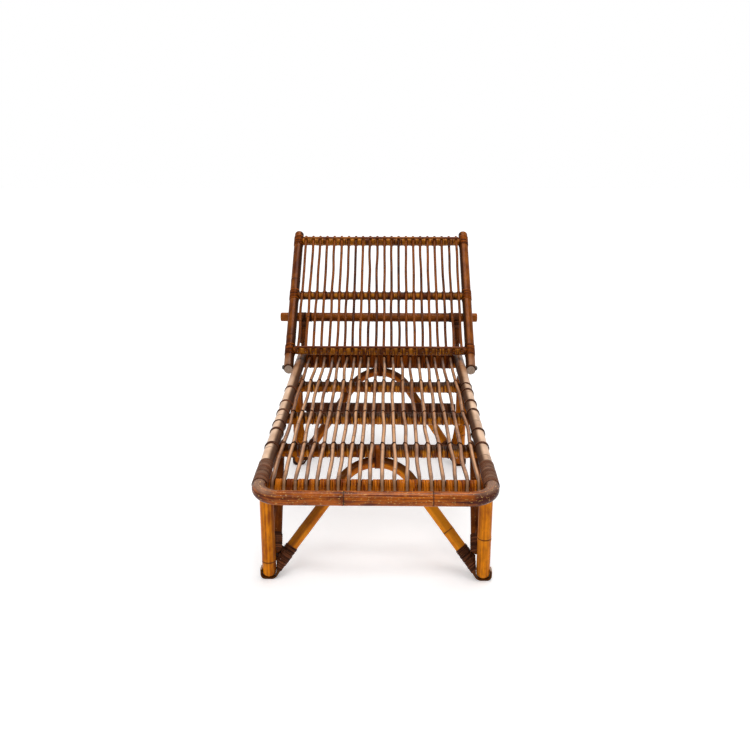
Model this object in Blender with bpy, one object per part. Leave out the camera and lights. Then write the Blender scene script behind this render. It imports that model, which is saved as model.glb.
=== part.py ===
"""Rattan chaise longue with a reclining slatted back held by a swinging prop.

Metres, +Z up, foot end towards -Y. The seat is modelled in a frame that rises with the side
rails (y runs along the rails from the front rail's axis, z is square to them), the back in a
frame whose z runs up the posts from the pivot bolts, and the prop in a frame whose z runs up
its struts from the pins.
"""
import math

import bmesh
import bpy
import numpy as np
from mathutils import Vector

OBJECT_NAME = "rattan_chaise_longue"

# Clearances
GAP = 0.0003                 # between pieces that touch
PIVOT_GAP = 0.0005           # between a post and the rail that it turns beside

# Rim of the seat
RIM_WIDTH = 0.620            # over the outer faces of the side rails
RIM_DIAMETER = 0.036
RIM_HEIGHT = 0.318           # axis of the front rail above the floor
SEAT_SLOPE = math.radians(2.0)
CORNER_RADIUS = 0.062
CORNER_TAIL = 0.042          # straight end of the front rail past each corner
RAIL_END = 1.206             # rear end of the side rails
CORNER_STEPS = 7

# Crossbars and slats of the seat
BAR_DIAMETER = 0.032
BAR_PLACES = (0.110, 0.325, 0.570, 0.860, 1.125)
BAR_OVERHANG = 0.004         # past the axis of the rail that sits in the saddle
FRONT_BAR, ARCH_BAR_FRONT, ARCH_BAR_REAR = 0, 1, 4
SEAT_SLAT_COUNT = 19
SEAT_SLAT_DIAMETER = 0.011
SEAT_SLAT_SIDE_GAP = 0.0055  # from the outermost slat to the rail
SEAT_SLAT_LIFT = 0.0         # slat axes above the rail axes
SLAT_REAR_OVERHANG = 0.020   # past the last crossbar
SLAT_TAIL = 0.014            # straight tip below the bend over the front crossbar
SLAT_TIP_TAPER = 0.75
SLAT_SHIFT = 0.0135          # how far the hand-laid middle slats stand aside of the lashings
SLAT_SHIFT_REACH = 4.0       # in slats

# Legs, side braces, arches and the rear stretcher
LEG_DIAMETER = 0.037
FRONT_LEG_Y = 0.168
REAR_LEG_Y = 0.955
LEG_TOE_DEPTH = 0.014
BRACE_DIAMETER = 0.031
BRACE_INSET = 0.009          # towards the middle from the rail's axis
BRACE_FOOT_HEIGHT = 0.088
BRACE_REACH = 0.230          # along the rail from the leg to the brace's top
BRACE_LIP = 0.008            # how far the brace's saddle laps up the rail
ARCH_DIAMETER = 0.032
ARCH_BEND_RADIUS = 0.120
ARCH_FLOOR_INSET = 0.017     # from the leg's axis to where the diagonal meets the floor
STRAP_THICKNESS = 0.005
STRAP_WIDTH = 0.026
STRAP_TIP_HEIGHT = 0.030
STRAP_OUTER_BEND = 0.014
STRAP_INNER_BEND = 0.020
SHAVED_HEIGHT = 0.042        # where the shaved end reaches the full pole
STRETCHER_DIAMETER = 0.029
STRETCHER_LENGTH = 0.556
STRETCHER_HEIGHT = 0.180     # where it crosses the rear arch

# Peel windings: one flat strip each, wound round the poles
PEEL_THICKNESS = 0.0020
PEEL_CLEARANCE = 0.0006
CORNER_PEEL_WIDTH = 0.0105
CORNER_PITCH = 0.0122
CORNER_LOOPS = 6
CORNER_WRAP_START = 0.0665   # along the rail
FOOT_PEEL_WIDTH = 0.0085
FOOT_PITCH = 0.0100
FOOT_LOOPS = 3
FOOT_LASHING_START = 0.062   # along the diagonal from the floor
APEX_PEEL_WIDTH = 0.0045
APEX_PITCH = 0.0053
APEX_LOOPS = 2
POINTS_PER_LOOP = 24

# Back
PIVOT_PLACE = 1.010          # along the rail
BACK_LEAN = math.radians(49.0)
POST_DIAMETER = 0.035
POST_LENGTH = 0.640          # pivot to top end
BACK_BAR_DIAMETER = 0.028
LOWER_BAR_PLACE = 0.073
MID_BAR_PLACE = 0.325
TOP_BAR_PLACE = 0.596
BACK_SLAT_COUNT = 22
BACK_SLAT_DIAMETER = 0.010
BACK_SLAT_SIDE_GAP = 0.0085
BACK_SLAT_OVERHANG = 0.018   # past the axes of the lower and top bars
MID_BAR_BITE = 0.0015        # seat of the slats in the middle bar

# Pivot bolts
BOLT_DIAMETER = 0.008
BOLT_HEAD_DIAMETER = 0.017
BOLT_HEAD_HEIGHT = 0.006
BOLT_DEPTH = 0.033           # into the rail

# Prop behind the back
PROP_PLACE = 1.185           # pins, along the rail
PROP_BEARING = 0.250         # along the post, where the bar bears
PROP_BAR_DIAMETER = 0.033
PROP_BAR_LENGTH = 0.745
PROP_BAR_SHIFT = -0.0055     # the bar stands out further on the left
STRUT_DIAMETER = 0.028
TONGUE_THICKNESS = 0.0154
TONGUE_WIDTH = 0.027
TONGUE_LENGTH = 0.037        # pin to the shoulder
TONGUE_SIDE_GAP = 0.0003
SLOT_FRONT = 0.035           # pin to the front wall of the slot in the rail
PIN_DIAMETER = 0.008
PIN_INSET = 0.001            # pin ends below the rail's sides

# Derived sizes
RIM_R = RIM_DIAMETER / 2
RAIL_X = RIM_WIDTH / 2 - RIM_R
BAR_R = BAR_DIAMETER / 2
SLAT_R = SEAT_SLAT_DIAMETER / 2
BAR_LEVEL = SEAT_SLAT_LIFT - SLAT_R - GAP - BAR_R
LEG_R = LEG_DIAMETER / 2
ARCH_R = ARCH_DIAMETER / 2
BRACE_R = BRACE_DIAMETER / 2
POST_R = POST_DIAMETER / 2
POST_X = RAIL_X + RIM_R + PIVOT_GAP + POST_R
BACK_BAR_R = BACK_BAR_DIAMETER / 2
BACK_SLAT_R = BACK_SLAT_DIAMETER / 2
PROP_BAR_R = PROP_BAR_DIAMETER / 2
STRUT_R = STRUT_DIAMETER / 2
WRAP_R = RIM_R + PEEL_CLEARANCE + PEEL_THICKNESS / 2
WRAP_OUTER_R = WRAP_R + PEEL_THICKNESS / 2

ROUND_POLE = 6               # bevel resolution of a 16-sided pole
THIN_POLE = 2                # bevel resolution of an 8-sided slat
CUTTER_SIDES = 32
SIDES = (("left", -1), ("right", 1))


def clear_scene():
    for obj in list(bpy.data.objects):
        bpy.data.objects.remove(obj)


def new_collection(name):
    group = bpy.data.collections.new(name)
    bpy.context.scene.collection.children.link(group)
    return group


def material(name, colour, roughness, metallic=0.0):
    mat = bpy.data.materials.new(name)
    mat.use_nodes = True
    shader = mat.node_tree.nodes["Principled BSDF"]
    shader.inputs["Base Color"].default_value = (*colour, 1.0)
    shader.inputs["Roughness"].default_value = roughness
    shader.inputs["Metallic"].default_value = metallic
    return mat


def empty(name, location, tilt, parent=None):
    """A frame: an empty turned by tilt about the x axis."""
    obj = bpy.data.objects.new(name, None)
    obj.location = location
    obj.rotation_euler.x = tilt
    obj.parent = parent
    PARTS.objects.link(obj)
    return obj


def add_mesh(name, mesh, parent, mat):
    """Link a finished mesh as a part, or as a cutter where it has no material."""
    obj = bpy.data.objects.new(name, mesh)
    obj.parent = parent
    if mat is None:
        CUTTERS.objects.link(obj)
        obj.hide_render = True
        obj.display_type = "WIRE"
        return obj
    PARTS.objects.link(obj)
    mesh.materials.append(mat)
    mesh.shade_smooth()
    mesh.set_sharp_from_angle(angle=math.radians(40))
    return obj


def tube_mesh(points, radius, resolution, factors=None):
    """Mesh of a bevelled curve through the points, with its caps welded on."""
    curve = bpy.data.curves.new("path", "CURVE")
    curve.dimensions = "3D"
    curve.bevel_depth = radius
    curve.bevel_resolution = resolution
    curve.use_fill_caps = True
    spline = curve.splines.new("POLY")
    spline.points.add(len(points) - 1)
    for index, (point, place) in enumerate(zip(spline.points, points)):
        point.co = (*place, 1.0)
        point.radius = 1.0 if factors is None else factors[index]
    holder = bpy.data.objects.new("path", curve)
    bpy.context.scene.collection.objects.link(holder)
    bpy.context.view_layer.update()
    graph = bpy.context.evaluated_depsgraph_get()
    mesh = bpy.data.meshes.new_from_object(holder.evaluated_get(graph))
    bpy.data.objects.remove(holder)
    bpy.data.curves.remove(curve)
    work = bmesh.new()
    work.from_mesh(mesh)
    bmesh.ops.remove_doubles(work, verts=work.verts, dist=0.00001)
    bmesh.ops.recalc_face_normals(work, faces=work.faces)
    work.to_mesh(mesh)
    work.free()
    return mesh


def pole(name, points, radius, parent, mat, resolution=ROUND_POLE, factors=None):
    return add_mesh(name, tube_mesh(points, radius, resolution, factors), parent, mat)


def rounded_run(start, end, depth_start, depth_end):
    """Points and radius factors of a straight pole with domed ends of those depths.

    A dome is the ellipse r = sin a, z = depth (cos b - cos a) / cos b from a = b to a right angle.
    """
    start, end = Vector(start), Vector(end)
    along = (end - start).normalized()
    angles = np.radians((25.0, 47.0, 69.0, 90.0))
    depths = (math.cos(angles[0]) - np.cos(angles)) / math.cos(angles[0])
    points, factors = [], []
    for depth, angle in zip(depths, angles):
        points.append(start + along * depth_start * float(depth))
        factors.append(math.sin(angle))
    for depth, angle in zip(depths[::-1], angles[::-1]):
        points.append(end - along * depth_end * float(depth))
        factors.append(math.sin(angle))
    if depth_end == 0.0:
        points, factors = points[:5], factors[:4] + [1.0]
        points[-1] = end
    return points, factors


def solid_mesh(vertices, faces):
    """Closed mesh from vertices and faces, turned to face outwards."""
    mesh = bpy.data.meshes.new("solid")
    mesh.from_pydata([tuple(v) for v in vertices], [], faces)
    work = bmesh.new()
    work.from_mesh(mesh)
    bmesh.ops.recalc_face_normals(work, faces=work.faces)
    work.to_mesh(mesh)
    work.free()
    return mesh


def loft_mesh(centres, across, outward, widths, heights, squareness, count):
    """Skin of sections strung along a path.

    A section is the ring c + a w/2 sgn(cos t)|cos t|^e + n h/2 sgn(sin t)|sin t|^e.
    """
    turn = (np.arange(count) + 0.5) * 2.0 * np.pi / count
    cosine, sine = np.cos(turn)[None], np.sin(turn)[None]
    power = np.asarray(squareness)[:, None]
    side = np.sign(cosine) * np.abs(cosine) ** power * np.asarray(widths)[:, None] / 2
    rise = np.sign(sine) * np.abs(sine) ** power * np.asarray(heights)[:, None] / 2
    rings = centres[:, None] + across[:, None] * side[..., None] + outward[:, None] * rise[..., None]
    sections = len(centres)
    faces = []
    for i in range(sections - 1):
        for j in range(count):
            k = (j + 1) % count
            faces.append((i * count + j, i * count + k, (i + 1) * count + k, (i + 1) * count + j))
    faces.append(tuple(range(count)))
    faces.append(tuple((sections - 1) * count + j for j in range(count)))
    return solid_mesh(rings.reshape(-1, 3), faces)


def cylinder(name, start, end, radius, parent):
    """Cutter: a plain cylinder between two points."""
    start, end = Vector(start), Vector(end)
    along = end - start
    work = bmesh.new()
    bmesh.ops.create_cone(work, cap_ends=True, segments=CUTTER_SIDES, radius1=radius,
                          radius2=radius, depth=along.length)
    turn = along.to_track_quat("Z", "Y").to_matrix().to_4x4()
    turn.translation = (start + end) / 2
    work.transform(turn)
    mesh = bpy.data.meshes.new(name)
    work.to_mesh(mesh)
    work.free()
    return add_mesh(name, mesh, parent, None)


def block(name, low, high, parent):
    """Cutter: a box between two corners."""
    (x0, y0, z0), (x1, y1, z1) = low, high
    corners = [(x, y, z) for x in (x0, x1) for y in (y0, y1) for z in (z0, z1)]
    faces = [(0, 1, 3, 2), (4, 6, 7, 5), (0, 4, 5, 1), (2, 3, 7, 6), (0, 2, 6, 4), (1, 5, 7, 3)]
    return add_mesh(name, solid_mesh(corners, faces), parent, None)


def boolean(obj, other, operation="DIFFERENCE"):
    step = obj.modifiers.new(other.name, "BOOLEAN")
    step.operation = operation
    step.solver = "EXACT"
    step.object = other


def winding(name, parent, origin, axis, first, second, hubs, radius, loops, pitch, width, mat):
    """One flat strip wound round the hull of the hubs, its ends run straight for one width.

    c(t) = o + a p t/2pi + hub(e) + e r with e = first cos t + second sin t.
    """
    turn = (np.arange(loops * POINTS_PER_LOOP + 1) + 0.5) * 2.0 * np.pi / POINTS_PER_LOOP
    axis, first, second = (np.array(v, dtype=float) for v in (axis, first, second))
    radial = np.cos(turn)[:, None] * first + np.sin(turn)[:, None] * second
    places = np.array(hubs, dtype=float)
    hub = places[np.argmax(radial @ places.T, axis=1)]
    centres = np.array(origin) + axis * (pitch * turn / (2 * np.pi))[:, None] + hub + radial * radius
    tangent = np.cos(turn)[:, None] * second - np.sin(turn)[:, None] * first
    head = centres[:1] - tangent[:1] * width
    tail = centres[-1:] + tangent[-1:] * width
    centres = np.concatenate([head, centres, tail])
    radial = np.concatenate([radial[:1], radial, radial[-1:]])
    apart = np.linalg.norm(centres[:, None] - centres[None], axis=2)
    index = np.arange(len(centres))
    other_loop = np.abs(index[:, None] - index[None]) > POINTS_PER_LOOP // 2
    print(name, "least gap to itself mm", round((apart[other_loop].min() - width) * 1000, 2))
    count = len(centres)
    mesh = loft_mesh(centres, np.tile(axis, (count, 1)), radial, np.full(count, width),
                     np.full(count, PEEL_THICKNESS), np.full(count, 0.45), 6)
    return add_mesh(name, mesh, parent, mat)


def seat_point(place, level=0.0):
    """World y and z of a point at that place along the rails and level above their axes."""
    slope_cos, slope_sin = math.cos(SEAT_SLOPE), math.sin(SEAT_SLOPE)
    return (place * slope_cos - level * slope_sin,
            RIM_HEIGHT + place * slope_sin + level * slope_cos)


def arch_plane(leg_y, bar_place):
    """Lean of an arch's plane, the height of its inner edge in it, and the diagonal's angle."""
    bar_y, bar_z = seat_point(bar_place, BAR_LEVEL)
    rise = bar_z - BAR_R - GAP - ARCH_R
    lean = math.atan2(bar_y - leg_y, rise)
    inner = math.hypot(bar_y - leg_y, rise) - ARCH_R
    bend = ARCH_BEND_RADIUS - ARCH_R
    floor_x = RAIL_X - ARCH_FLOOR_INSET
    drop = inner - bend
    angle = math.atan2(drop, floor_x) + math.asin(bend / math.hypot(floor_x, drop))
    return lean, inner, angle, floor_x, bend


def arch(name, leg_y, bar_place, mat):
    """Bent pole whose ends are shaved to straps that turn under the feet.

    The inner edge of the bend runs, as a strap, from the leg's outer side under the foot, and up
    the diagonal to the apex. Sections stand on that edge and grow from strap to round pole.
    """
    lean, inner, angle, floor_x, bend = arch_plane(leg_y, bar_place)
    outer_x = RAIL_X + LEG_R + GAP + STRAP_THICKNESS
    floor_start = floor_x + STRAP_INNER_BEND * math.tan(angle / 2)
    edge, normal, lift, growth = [], [], [], []

    def station(x, v, nx, nv, leaning, grown):
        edge.append((x, v))
        normal.append((nx, nv))
        lift.append(leaning)
        growth.append(grown)

    station(outer_x, STRAP_TIP_HEIGHT, -1.0, 0.0, 0.0, 0.0)
    for step in range(4):
        turn = math.radians(30.0 * step)
        station(outer_x - STRAP_OUTER_BEND * (1 - math.cos(turn)),
                STRAP_OUTER_BEND * (1 - math.sin(turn)), -math.cos(turn), math.sin(turn), 0.0, 0.0)
    for step in range(4):
        turn = angle * step / 3
        station(floor_start - STRAP_INNER_BEND * math.sin(turn),
                STRAP_INNER_BEND * (1 - math.cos(turn)), math.sin(turn), math.cos(turn),
                0.25 * step / 3, 0.0)
    low = STRAP_INNER_BEND * (1 - math.cos(angle))
    for step in range(1, 6):
        grown = step / 5
        height = low + (SHAVED_HEIGHT - low) * grown
        station(floor_x - height / math.tan(angle), height, math.sin(angle), math.cos(angle),
                0.25 + 0.75 * grown, grown)
    for step in range(9):
        turn = math.pi / 2 - angle * (1 - step / 8)
        station(bend * math.cos(turn), inner - bend + bend * math.sin(turn), math.cos(turn),
                math.sin(turn), 1.0, 1.0)
    edge, normal = np.array(edge), np.array(normal)
    tilt, growth = lean * np.array(lift), np.array(growth)
    heights = STRAP_THICKNESS + (ARCH_DIAMETER - STRAP_THICKNESS) * growth
    widths = STRAP_WIDTH + (ARCH_DIAMETER - STRAP_WIDTH) * growth
    squareness = 0.35 + 0.65 * growth
    flat = edge + normal * heights[:, None] / 2
    centres = np.stack([flat[:, 0], leg_y + flat[:, 1] * np.sin(tilt), flat[:, 1] * np.cos(tilt)], 1)
    outward = np.stack([normal[:, 0], normal[:, 1] * np.sin(tilt), normal[:, 1] * np.cos(tilt)], 1)
    across = np.stack([np.zeros_like(tilt), np.cos(tilt), -np.sin(tilt)], 1)
    mirror = np.array([-1.0, 1.0, 1.0])
    both = [np.concatenate([v, v[-2::-1] * m]) for v, m in
            ((centres, mirror), (across, 1.0), (outward, mirror))]
    sizes = [np.concatenate([v, v[-2::-1]]) for v in (widths, heights, squareness)]
    return add_mesh(name, loft_mesh(*both, *sizes, 12), ROOT, mat)


def foot_lashing(name, sign, leg_y, bar_place, mat):
    """Winding round the diagonal just above its shaved end."""
    lean, inner, angle, floor_x, bend = arch_plane(leg_y, bar_place)

    def place(x, v):
        return np.array([sign * x, v * math.sin(lean), v * math.cos(lean)])

    along = place(-math.cos(angle), math.sin(angle))
    outward = place(math.sin(angle), math.cos(angle))
    start = place(floor_x, 0.0) + outward * ARCH_R + along * FOOT_LASHING_START
    start[1] += leg_y
    across = np.array([0.0, math.cos(lean), -math.sin(lean)])
    radius = ARCH_R + PEEL_CLEARANCE + PEEL_THICKNESS / 2
    return winding(name, ROOT, start, along, outward, across, [(0.0, 0.0, 0.0)], radius, FOOT_LOOPS,
                   FOOT_PITCH, FOOT_PEEL_WIDTH, mat)


def slat_places(count, reach, shift):
    """Places of slats across a panel, the middle ones moved aside by a bell of that shift."""
    index = np.arange(count)
    middle = (count - 1) / 2
    even = (index - middle) * 2 * reach / (count - 1)
    return even - shift * np.exp(-((index - middle) / SLAT_SHIFT_REACH) ** 2)


clear_scene()
PARTS = new_collection(OBJECT_NAME)
CUTTERS = new_collection("cutters")

RIM_MAT = material("rim_rattan", (0.30, 0.11, 0.030), 0.30)
LEG_MAT = material("leg_rattan", (0.52, 0.21, 0.025), 0.30)
BAR_MAT = material("crossbar_rattan", (0.34, 0.13, 0.035), 0.34)
SLAT_MAT = material("slat_rattan", (0.42, 0.22, 0.090), 0.40)
POST_MAT = material("post_rattan", (0.32, 0.12, 0.030), 0.30)
BACK_SLAT_MAT = material("back_slat_rattan", (0.26, 0.09, 0.025), 0.36)
DARK_MAT = material("stretcher_rattan", (0.12, 0.05, 0.020), 0.40)
PEEL_MAT = material("peel", (0.16, 0.065, 0.026), 0.45)
STEEL_MAT = material("bolt_steel", (0.09, 0.085, 0.080), 0.40, 1.0)

ROOT = empty("root", (0.0, 0.0, 0.0), 0.0)
SEAT = empty("seat_frame", (0.0, 0.0, RIM_HEIGHT), SEAT_SLOPE, ROOT)
pivot_y, pivot_z = seat_point(PIVOT_PLACE)
BACK = empty("back_pivot", (0.0, pivot_y, pivot_z), -BACK_LEAN, ROOT)
bar_offset = POST_R + PROP_BAR_R + PIVOT_GAP
prop_bar_y = pivot_y + PROP_BEARING * math.sin(BACK_LEAN) + bar_offset * math.cos(BACK_LEAN)
prop_bar_z = pivot_z + PROP_BEARING * math.cos(BACK_LEAN) - bar_offset * math.sin(BACK_LEAN)
pin_y, pin_z = seat_point(PROP_PLACE)
STRUT_LENGTH = math.hypot(prop_bar_y - pin_y, prop_bar_z - pin_z)
PROP = empty("prop_pivot", (0.0, pin_y, pin_z), -math.atan2(prop_bar_y - pin_y, prop_bar_z - pin_z),
             ROOT)

# Rim
tail_place = CORNER_RADIUS + CORNER_TAIL
corner = [(RAIL_X - CORNER_RADIUS * (1 - math.sin(a)), CORNER_RADIUS * (1 - math.cos(a)))
          for a in np.linspace(0.0, math.pi / 2, CORNER_STEPS)]
half = [(x, y, 0.0) for x, y in corner] + [(RAIL_X, tail_place, 0.0)]
front_points = [(-x, y, z) for x, y, z in reversed(half)] + half
pole("front_rail", front_points, RIM_R, SEAT, RIM_MAT)
slot_half = TONGUE_THICKNESS / 2 + TONGUE_SIDE_GAP
for side, sign in SIDES:
    x = sign * RAIL_X
    rail = pole("side_rail_" + side, [(x, tail_place + GAP, 0.0), (x, RAIL_END, 0.0)], RIM_R, SEAT,
                RIM_MAT)
    slot = block("cut_slot_" + side, (x - slot_half, PROP_PLACE - SLOT_FRONT, -2 * RIM_R),
                 (x + slot_half, RAIL_END + RIM_R, 2 * RIM_R), SEAT)
    boolean(rail, slot)
    outer = sign * (RAIL_X + 2 * RIM_R)
    inner_end = sign * (RAIL_X + RIM_R - BOLT_DEPTH - GAP)
    boolean(rail, cylinder("cut_bolt_hole_" + side, (inner_end, PIVOT_PLACE, 0.0),
                           (outer, PIVOT_PLACE, 0.0), BOLT_DIAMETER / 2 + GAP, SEAT))
    boolean(rail, cylinder("cut_pin_hole_" + side, (x - 2 * RIM_R, PROP_PLACE, 0.0),
                           (x + 2 * RIM_R, PROP_PLACE, 0.0), PIN_DIAMETER / 2 + GAP, SEAT))
    pole("prop_pin_" + side, [(x - RIM_R + PIN_INSET, PROP_PLACE, 0.0),
                              (x + RIM_R - PIN_INSET, PROP_PLACE, 0.0)],
         PIN_DIAMETER / 2, SEAT, STEEL_MAT, THIN_POLE)
    head_face = sign * (POST_X + POST_R + GAP)
    thin = BOLT_DIAMETER / BOLT_HEAD_DIAMETER
    shank_end = sign * (RAIL_X + RIM_R - BOLT_DEPTH)
    pole("pivot_bolt_" + side,
         [(shank_end, PIVOT_PLACE, 0.0), (head_face - sign * 0.0001, PIVOT_PLACE, 0.0),
          (head_face, PIVOT_PLACE, 0.0),
          (head_face + sign * BOLT_HEAD_HEIGHT * 0.6, PIVOT_PLACE, 0.0),
          (head_face + sign * BOLT_HEAD_HEIGHT, PIVOT_PLACE, 0.0)],
         BOLT_HEAD_DIAMETER / 2, SEAT, STEEL_MAT, 4, (thin, thin, 1.0, 0.95, 0.55))
    winding("corner_winding_" + side, SEAT, (x, CORNER_WRAP_START, 0.0), (0.0, 1.0, 0.0),
            (1.0, 0.0, 0.0), (0.0, 0.0, 1.0), [(0.0, 0.0, 0.0)], WRAP_R, CORNER_LOOPS, CORNER_PITCH,
            CORNER_PEEL_WIDTH, PEEL_MAT)

rail_cutters = {}
wrap_cutters = {}
for side, sign in SIDES:
    x = sign * RAIL_X
    rail_cutters[side] = cylinder("cut_rail_" + side, (x, 0.0, 0.0), (x, RAIL_END + RIM_R, 0.0),
                                  RIM_R + GAP, SEAT)
    wrap_cutters[side] = cylinder("cut_wrap_" + side, (x, 0.0, 0.0), (x, RAIL_END, 0.0),
                                  WRAP_OUTER_R + GAP, SEAT)

# Crossbars and seat slats
bar_end = RAIL_X + BAR_OVERHANG
for number, place in enumerate(BAR_PLACES):
    bar = pole("seat_crossbar_" + str(number + 1),
               [(-bar_end, place, BAR_LEVEL), (bar_end, place, BAR_LEVEL)], BAR_R, SEAT, BAR_MAT)
    for side, sign in SIDES:
        boolean(bar, wrap_cutters[side] if number == FRONT_BAR else rail_cutters[side])

bend_radius = BAR_R + GAP + SLAT_R
rear_end = BAR_PLACES[-1] + SLAT_REAR_OVERHANG
front_place = BAR_PLACES[FRONT_BAR]
slat_profile = [(rear_end, SEAT_SLAT_LIFT), (front_place, SEAT_SLAT_LIFT)]
for angle in np.radians((30.0, 60.0, 85.0)):
    slat_profile.append((front_place - bend_radius * math.sin(angle),
                         BAR_LEVEL + bend_radius * math.cos(angle)))
slat_profile.append((slat_profile[-1][0], slat_profile[-1][1] - SLAT_TAIL))
taper = [1.0, 1.0, 0.98, 0.94, 0.88, SLAT_TIP_TAPER]
slat_reach = RAIL_X - RIM_R - SEAT_SLAT_SIDE_GAP - SLAT_R
seat_slat_x = slat_places(SEAT_SLAT_COUNT, slat_reach, SLAT_SHIFT)
for number, x in enumerate(seat_slat_x):
    pole("seat_slat_" + str(number + 1).zfill(2), [(x, y, z) for y, z in slat_profile], SLAT_R, SEAT,
         SLAT_MAT, THIN_POLE, taper)

# Legs, side braces, arches and lashings
middle = SEAT_SLAT_COUNT // 2
lashing_x = (seat_slat_x[middle] + seat_slat_x[middle + 1]) / 2
lashing_start = lashing_x - (APEX_LOOPS + 0.5 / POINTS_PER_LOOP) * APEX_PITCH / 2
for end, leg_y, bar_number, towards in (("front", FRONT_LEG_Y, ARCH_BAR_FRONT, 1),
                                        ("rear", REAR_LEG_Y, ARCH_BAR_REAR, -1)):
    bar_place = BAR_PLACES[bar_number]
    arch(end + "_arch", leg_y, bar_place, LEG_MAT)
    bar_y, bar_z = seat_point(bar_place, BAR_LEVEL)
    winding(end + "_apex_lashing", ROOT,
            (lashing_start, bar_y, bar_z - BAR_R - GAP / 2), (1.0, 0.0, 0.0), (0.0, 1.0, 0.0),
            (0.0, 0.0, 1.0), [(0.0, 0.0, BAR_R + GAP / 2), (0.0, 0.0, -ARCH_R - GAP / 2)],
            BAR_R + PEEL_CLEARANCE + PEEL_THICKNESS / 2, APEX_LOOPS, APEX_PITCH, APEX_PEEL_WIDTH,
            PEEL_MAT)
    for side, sign in SIDES:
        x = sign * RAIL_X
        leg_top = seat_point(leg_y)[1]
        toe = STRAP_THICKNESS + GAP
        points, factors = rounded_run((x, leg_y, toe), (x, leg_y, leg_top), LEG_TOE_DEPTH, 0.0)
        leg = pole(end + "_leg_" + side, points, LEG_R, ROOT, LEG_MAT, factors=factors)
        boolean(leg, rail_cutters[side])
        leg_cutter = cylinder("cut_" + end + "_leg_" + side, (x, leg_y, 0.0), (x, leg_y, RIM_HEIGHT),
                              LEG_R + GAP, ROOT)
        brace_x = sign * (RAIL_X - BRACE_INSET)
        top_y, top_z = seat_point(leg_y + towards * BRACE_REACH, -RIM_R + BRACE_LIP)
        brace = pole(end + "_brace_" + side,
                     [(brace_x, leg_y + towards * LEG_R / 2, BRACE_FOOT_HEIGHT),
                      (brace_x, top_y, top_z)], BRACE_R, ROOT, LEG_MAT)
        boolean(brace, leg_cutter)
        boolean(brace, rail_cutters[side])
        foot_lashing(end + "_foot_lashing_" + side, sign, leg_y, bar_place, PEEL_MAT)

lean = arch_plane(REAR_LEG_Y, BAR_PLACES[ARCH_BAR_REAR])[0]
reach = ARCH_R + STRETCHER_DIAMETER / 2 + GAP
stretcher_y = REAR_LEG_Y + STRETCHER_HEIGHT * math.tan(lean) - reach * math.cos(lean)
stretcher_z = STRETCHER_HEIGHT + reach * math.sin(lean)
pole("rear_stretcher", [(-STRETCHER_LENGTH / 2, stretcher_y, stretcher_z),
                        (STRETCHER_LENGTH / 2, stretcher_y, stretcher_z)],
     STRETCHER_DIAMETER / 2, ROOT, DARK_MAT)

# Back
post_cutters = []
for side, sign in SIDES:
    x = sign * POST_X
    points, factors = rounded_run((x, 0.0, -POST_R), (x, 0.0, POST_LENGTH), POST_R, POST_R / 2)
    post = pole("back_post_" + side, points, POST_R, BACK, POST_MAT, factors=factors)
    boolean(post, cylinder("cut_post_hole_" + side, (x - 2 * POST_R, 0.0, 0.0),
                           (x + 2 * POST_R, 0.0, 0.0), BOLT_DIAMETER / 2 + GAP, BACK))
    post_cutters.append(cylinder("cut_post_" + side, (x, 0.0, 0.0), (x, 0.0, POST_LENGTH),
                                 POST_R + GAP, BACK))
slat_y = -(BACK_BAR_R + BACK_SLAT_R + GAP)
mid_bar_y = slat_y + BACK_BAR_R + BACK_SLAT_R - MID_BAR_BITE
for name, place, y in (("back_lower_bar", LOWER_BAR_PLACE, 0.0), ("back_top_bar", TOP_BAR_PLACE, 0.0),
                       ("back_slat_panel", MID_BAR_PLACE, mid_bar_y)):
    bar = pole(name, [(-POST_X, y, place), (POST_X, y, place)], BACK_BAR_R, BACK, POST_MAT)
    for cutter in post_cutters:
        boolean(bar, cutter)
panel_reach = POST_X - POST_R - BACK_SLAT_SIDE_GAP - BACK_SLAT_R
low = LOWER_BAR_PLACE - BACK_SLAT_OVERHANG
high = TOP_BAR_PLACE + BACK_SLAT_OVERHANG
joined = bmesh.new()
for x in slat_places(BACK_SLAT_COUNT, panel_reach, 0.0):
    joined.from_mesh(tube_mesh([(x, slat_y, low), (x, slat_y, high)], BACK_SLAT_R, THIN_POLE))
slats_mesh = bpy.data.meshes.new("back_slats")
joined.to_mesh(slats_mesh)
joined.free()
boolean(bar, add_mesh("join_back_slats", slats_mesh, BACK, None), "UNION")

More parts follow.
